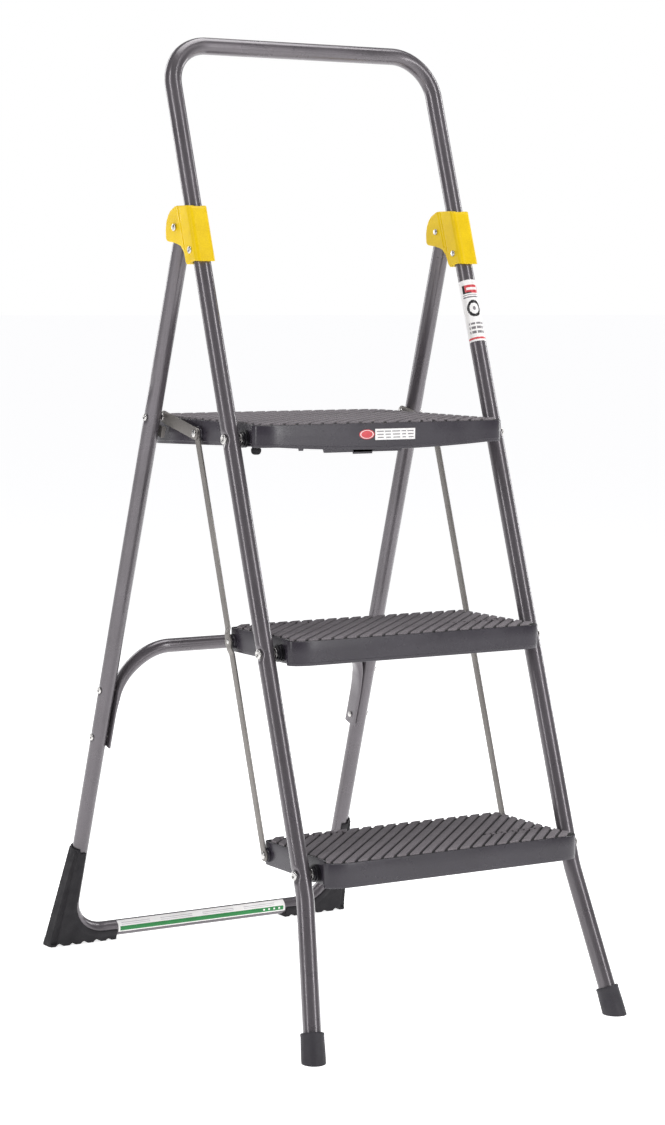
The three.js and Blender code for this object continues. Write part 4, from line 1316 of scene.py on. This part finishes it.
# on the platform's front skirt
skirtLabel = {"x": (-15.5, 45.0), "z": (729.6, 743.6), "dot": (-28.0, 737.0), "dotSize": (11.5, 6.2)}
faceY = boxOf("platform")[0].y
parts, kinds = [], []


def plate(x, z, thickness, kind):
    shape = beam((x[0] * mm, x[1] * mm), (faceY - thickness * mm, faceY + 0.3 * mm), (z[0] * mm, z[1] * mm))
    parts.append(shape)
    kinds.extend([kind] * len(shape[1]))


plate(skirtLabel["x"], skirtLabel["z"], 0.14, 0)
for line in range(3):
    height = skirtLabel["z"][1] - 3.2 - line * 3.9
    for start, end in ((-13.5, -3), (-1, 8), (10, 22), (24, 31), (33, 42.5)):
        plate((start + line, end), (height - 0.6, height + 0.6), 0.3, 3)
for scale, thick, kind in ((1.0, 0.12, 2), (0.86, 0.16, 0), (0.76, 0.2, 2)):
    outline = [(skirtLabel["dot"][0] * mm + skirtLabel["dotSize"][0] * scale * mm * math.cos(a),
                skirtLabel["dot"][1] * mm + skirtLabel["dotSize"][1] * scale * mm * math.sin(a))
               for a in [2 * math.pi * i / 40 for i in range(40)]]
    shape = prism(outline, faceY - thick * mm, faceY + 0.3 * mm, "y")
    parts.append(shape)
    kinds.extend([kind] * len(shape[1]))
points, faces = merged(parts)
addPiece("skirt_label", points, faces, "labelWhite", "platform", smooth=30,
         faceFinish=kinds, extra=("labelGreen", "labelRed", "labelGrey"))

# Floor, light and camera

stage = {"floorSize": 70.0, "floorColour": "f4f4f4", "floorGlow": 0.79, "backdrop": 1.0, "fill": 0.22}
print("setting the stage")
floorMesh = bpy.data.meshes.new("studio_floor")
size = stage["floorSize"]
floorMesh.from_pydata([(-size, -size, 0), (size, -size, 0), (size, size, 0), (-size, size, 0)], [],
                      [(0, 1, 2, 3)])
floor = linked("studio_floor", floorMesh)
floorFinish = bpy.data.materials.new("pale_floor")
floorFinish.use_nodes = True
floorShader = floorFinish.node_tree.nodes["Principled BSDF"]
floorShader.inputs["Base Color"].default_value = tint(stage["floorColour"])
floorShader.inputs["Roughness"].default_value = 0.85
floorShader.inputs["Emission Color"].default_value = (1, 1, 1, 1)
floorShader.inputs["Emission Strength"].default_value = stage["floorGlow"]
floorMesh.materials.append(floorFinish)

world = bpy.data.worlds.new("studio_world")
world.use_nodes = True
tree = world.node_tree
seen = tree.nodes["Background"]
seen.inputs["Color"].default_value = (1, 1, 1, 1)
seen.inputs["Strength"].default_value = stage["backdrop"]
fill = tree.nodes.new("ShaderNodeBackground")
fill.inputs["Color"].default_value = (0.95, 0.95, 1, 1)
fill.inputs["Strength"].default_value = stage["fill"]
rays = tree.nodes.new("ShaderNodeLightPath")
chooser = tree.nodes.new("ShaderNodeMixShader")
tree.links.new(rays.outputs["Is Camera Ray"], chooser.inputs["Fac"])
tree.links.new(fill.outputs["Background"], chooser.inputs[1])
tree.links.new(seen.outputs["Background"], chooser.inputs[2])
tree.links.new(chooser.outputs["Shader"], tree.nodes["World Output"].inputs["Surface"])
bpy.context.scene.world = world
bpy.context.scene.view_settings.view_transform = "Standard"


def softLight(name, place, target, sizeX, sizeY, power):
    light = bpy.data.lights.new(name, "AREA")
    light.shape = "RECTANGLE"
    light.size = sizeX
    light.size_y = sizeY
    light.energy = power
    lamp = linked(name, light)
    lamp.location = place
    lamp.rotation_euler = (Vector(target) - Vector(place)).to_track_quat("-Z", "Y").to_euler()


softLight("key_left", (-2.6, -0.4, 1.9), (0, 0, 0.6), 0.35, 3.0, 28)
softLight("front_strip", (1.1, -2.8, 1.9), (0, 0, 0.6), 0.45, 3.2, 40)
softLight("right_strip", (2.8, 0.4, 1.6), (0, 0, 0.6), 0.4, 2.4, 26)
softLight("top_soft", (0.4, 0.2, 3.2), (0, 0, 0.6), 1.8, 1.8, 42)
softLight("back_soft", (-0.6, 2.8, 1.7), (0, 0, 0.6), 1.2, 2.0, 24)

# the view: where the camera stands, and its heading, pitch and roll in degrees
view = {"place": (-1.91324, -3.12052, 0.92532), "heading": 31.65, "pitch": 5.466, "roll": 0.346,
        "lens": 89.0, "shift": (0.0002, -0.0102)}
camera = linked("camera", bpy.data.cameras.new("camera"))
bpy.context.scene.camera = camera
heading, pitch, roll = (math.radians(view[k]) for k in ("heading", "pitch", "roll"))
forward = Vector((math.sin(heading) * math.cos(pitch), math.cos(heading) * math.cos(pitch), -math.sin(pitch)))
right = forward.cross(Vector((0, 0, 1))).normalized()
up = right.cross(forward)
cameraX = right * math.cos(roll) + up * math.sin(roll)
cameraY = up * math.cos(roll) - right * math.sin(roll)
turn = Matrix((cameraX, cameraY, -forward)).transposed().to_4x4()
camera.matrix_world = Matrix.Translation(view["place"]) @ turn
camera.data.sensor_width = 36
camera.data.lens = view["lens"]
camera.data.shift_x, camera.data.shift_y = view["shift"]
camera.data.dof.use_dof = False
camera.data.clip_end = 100

print("done")
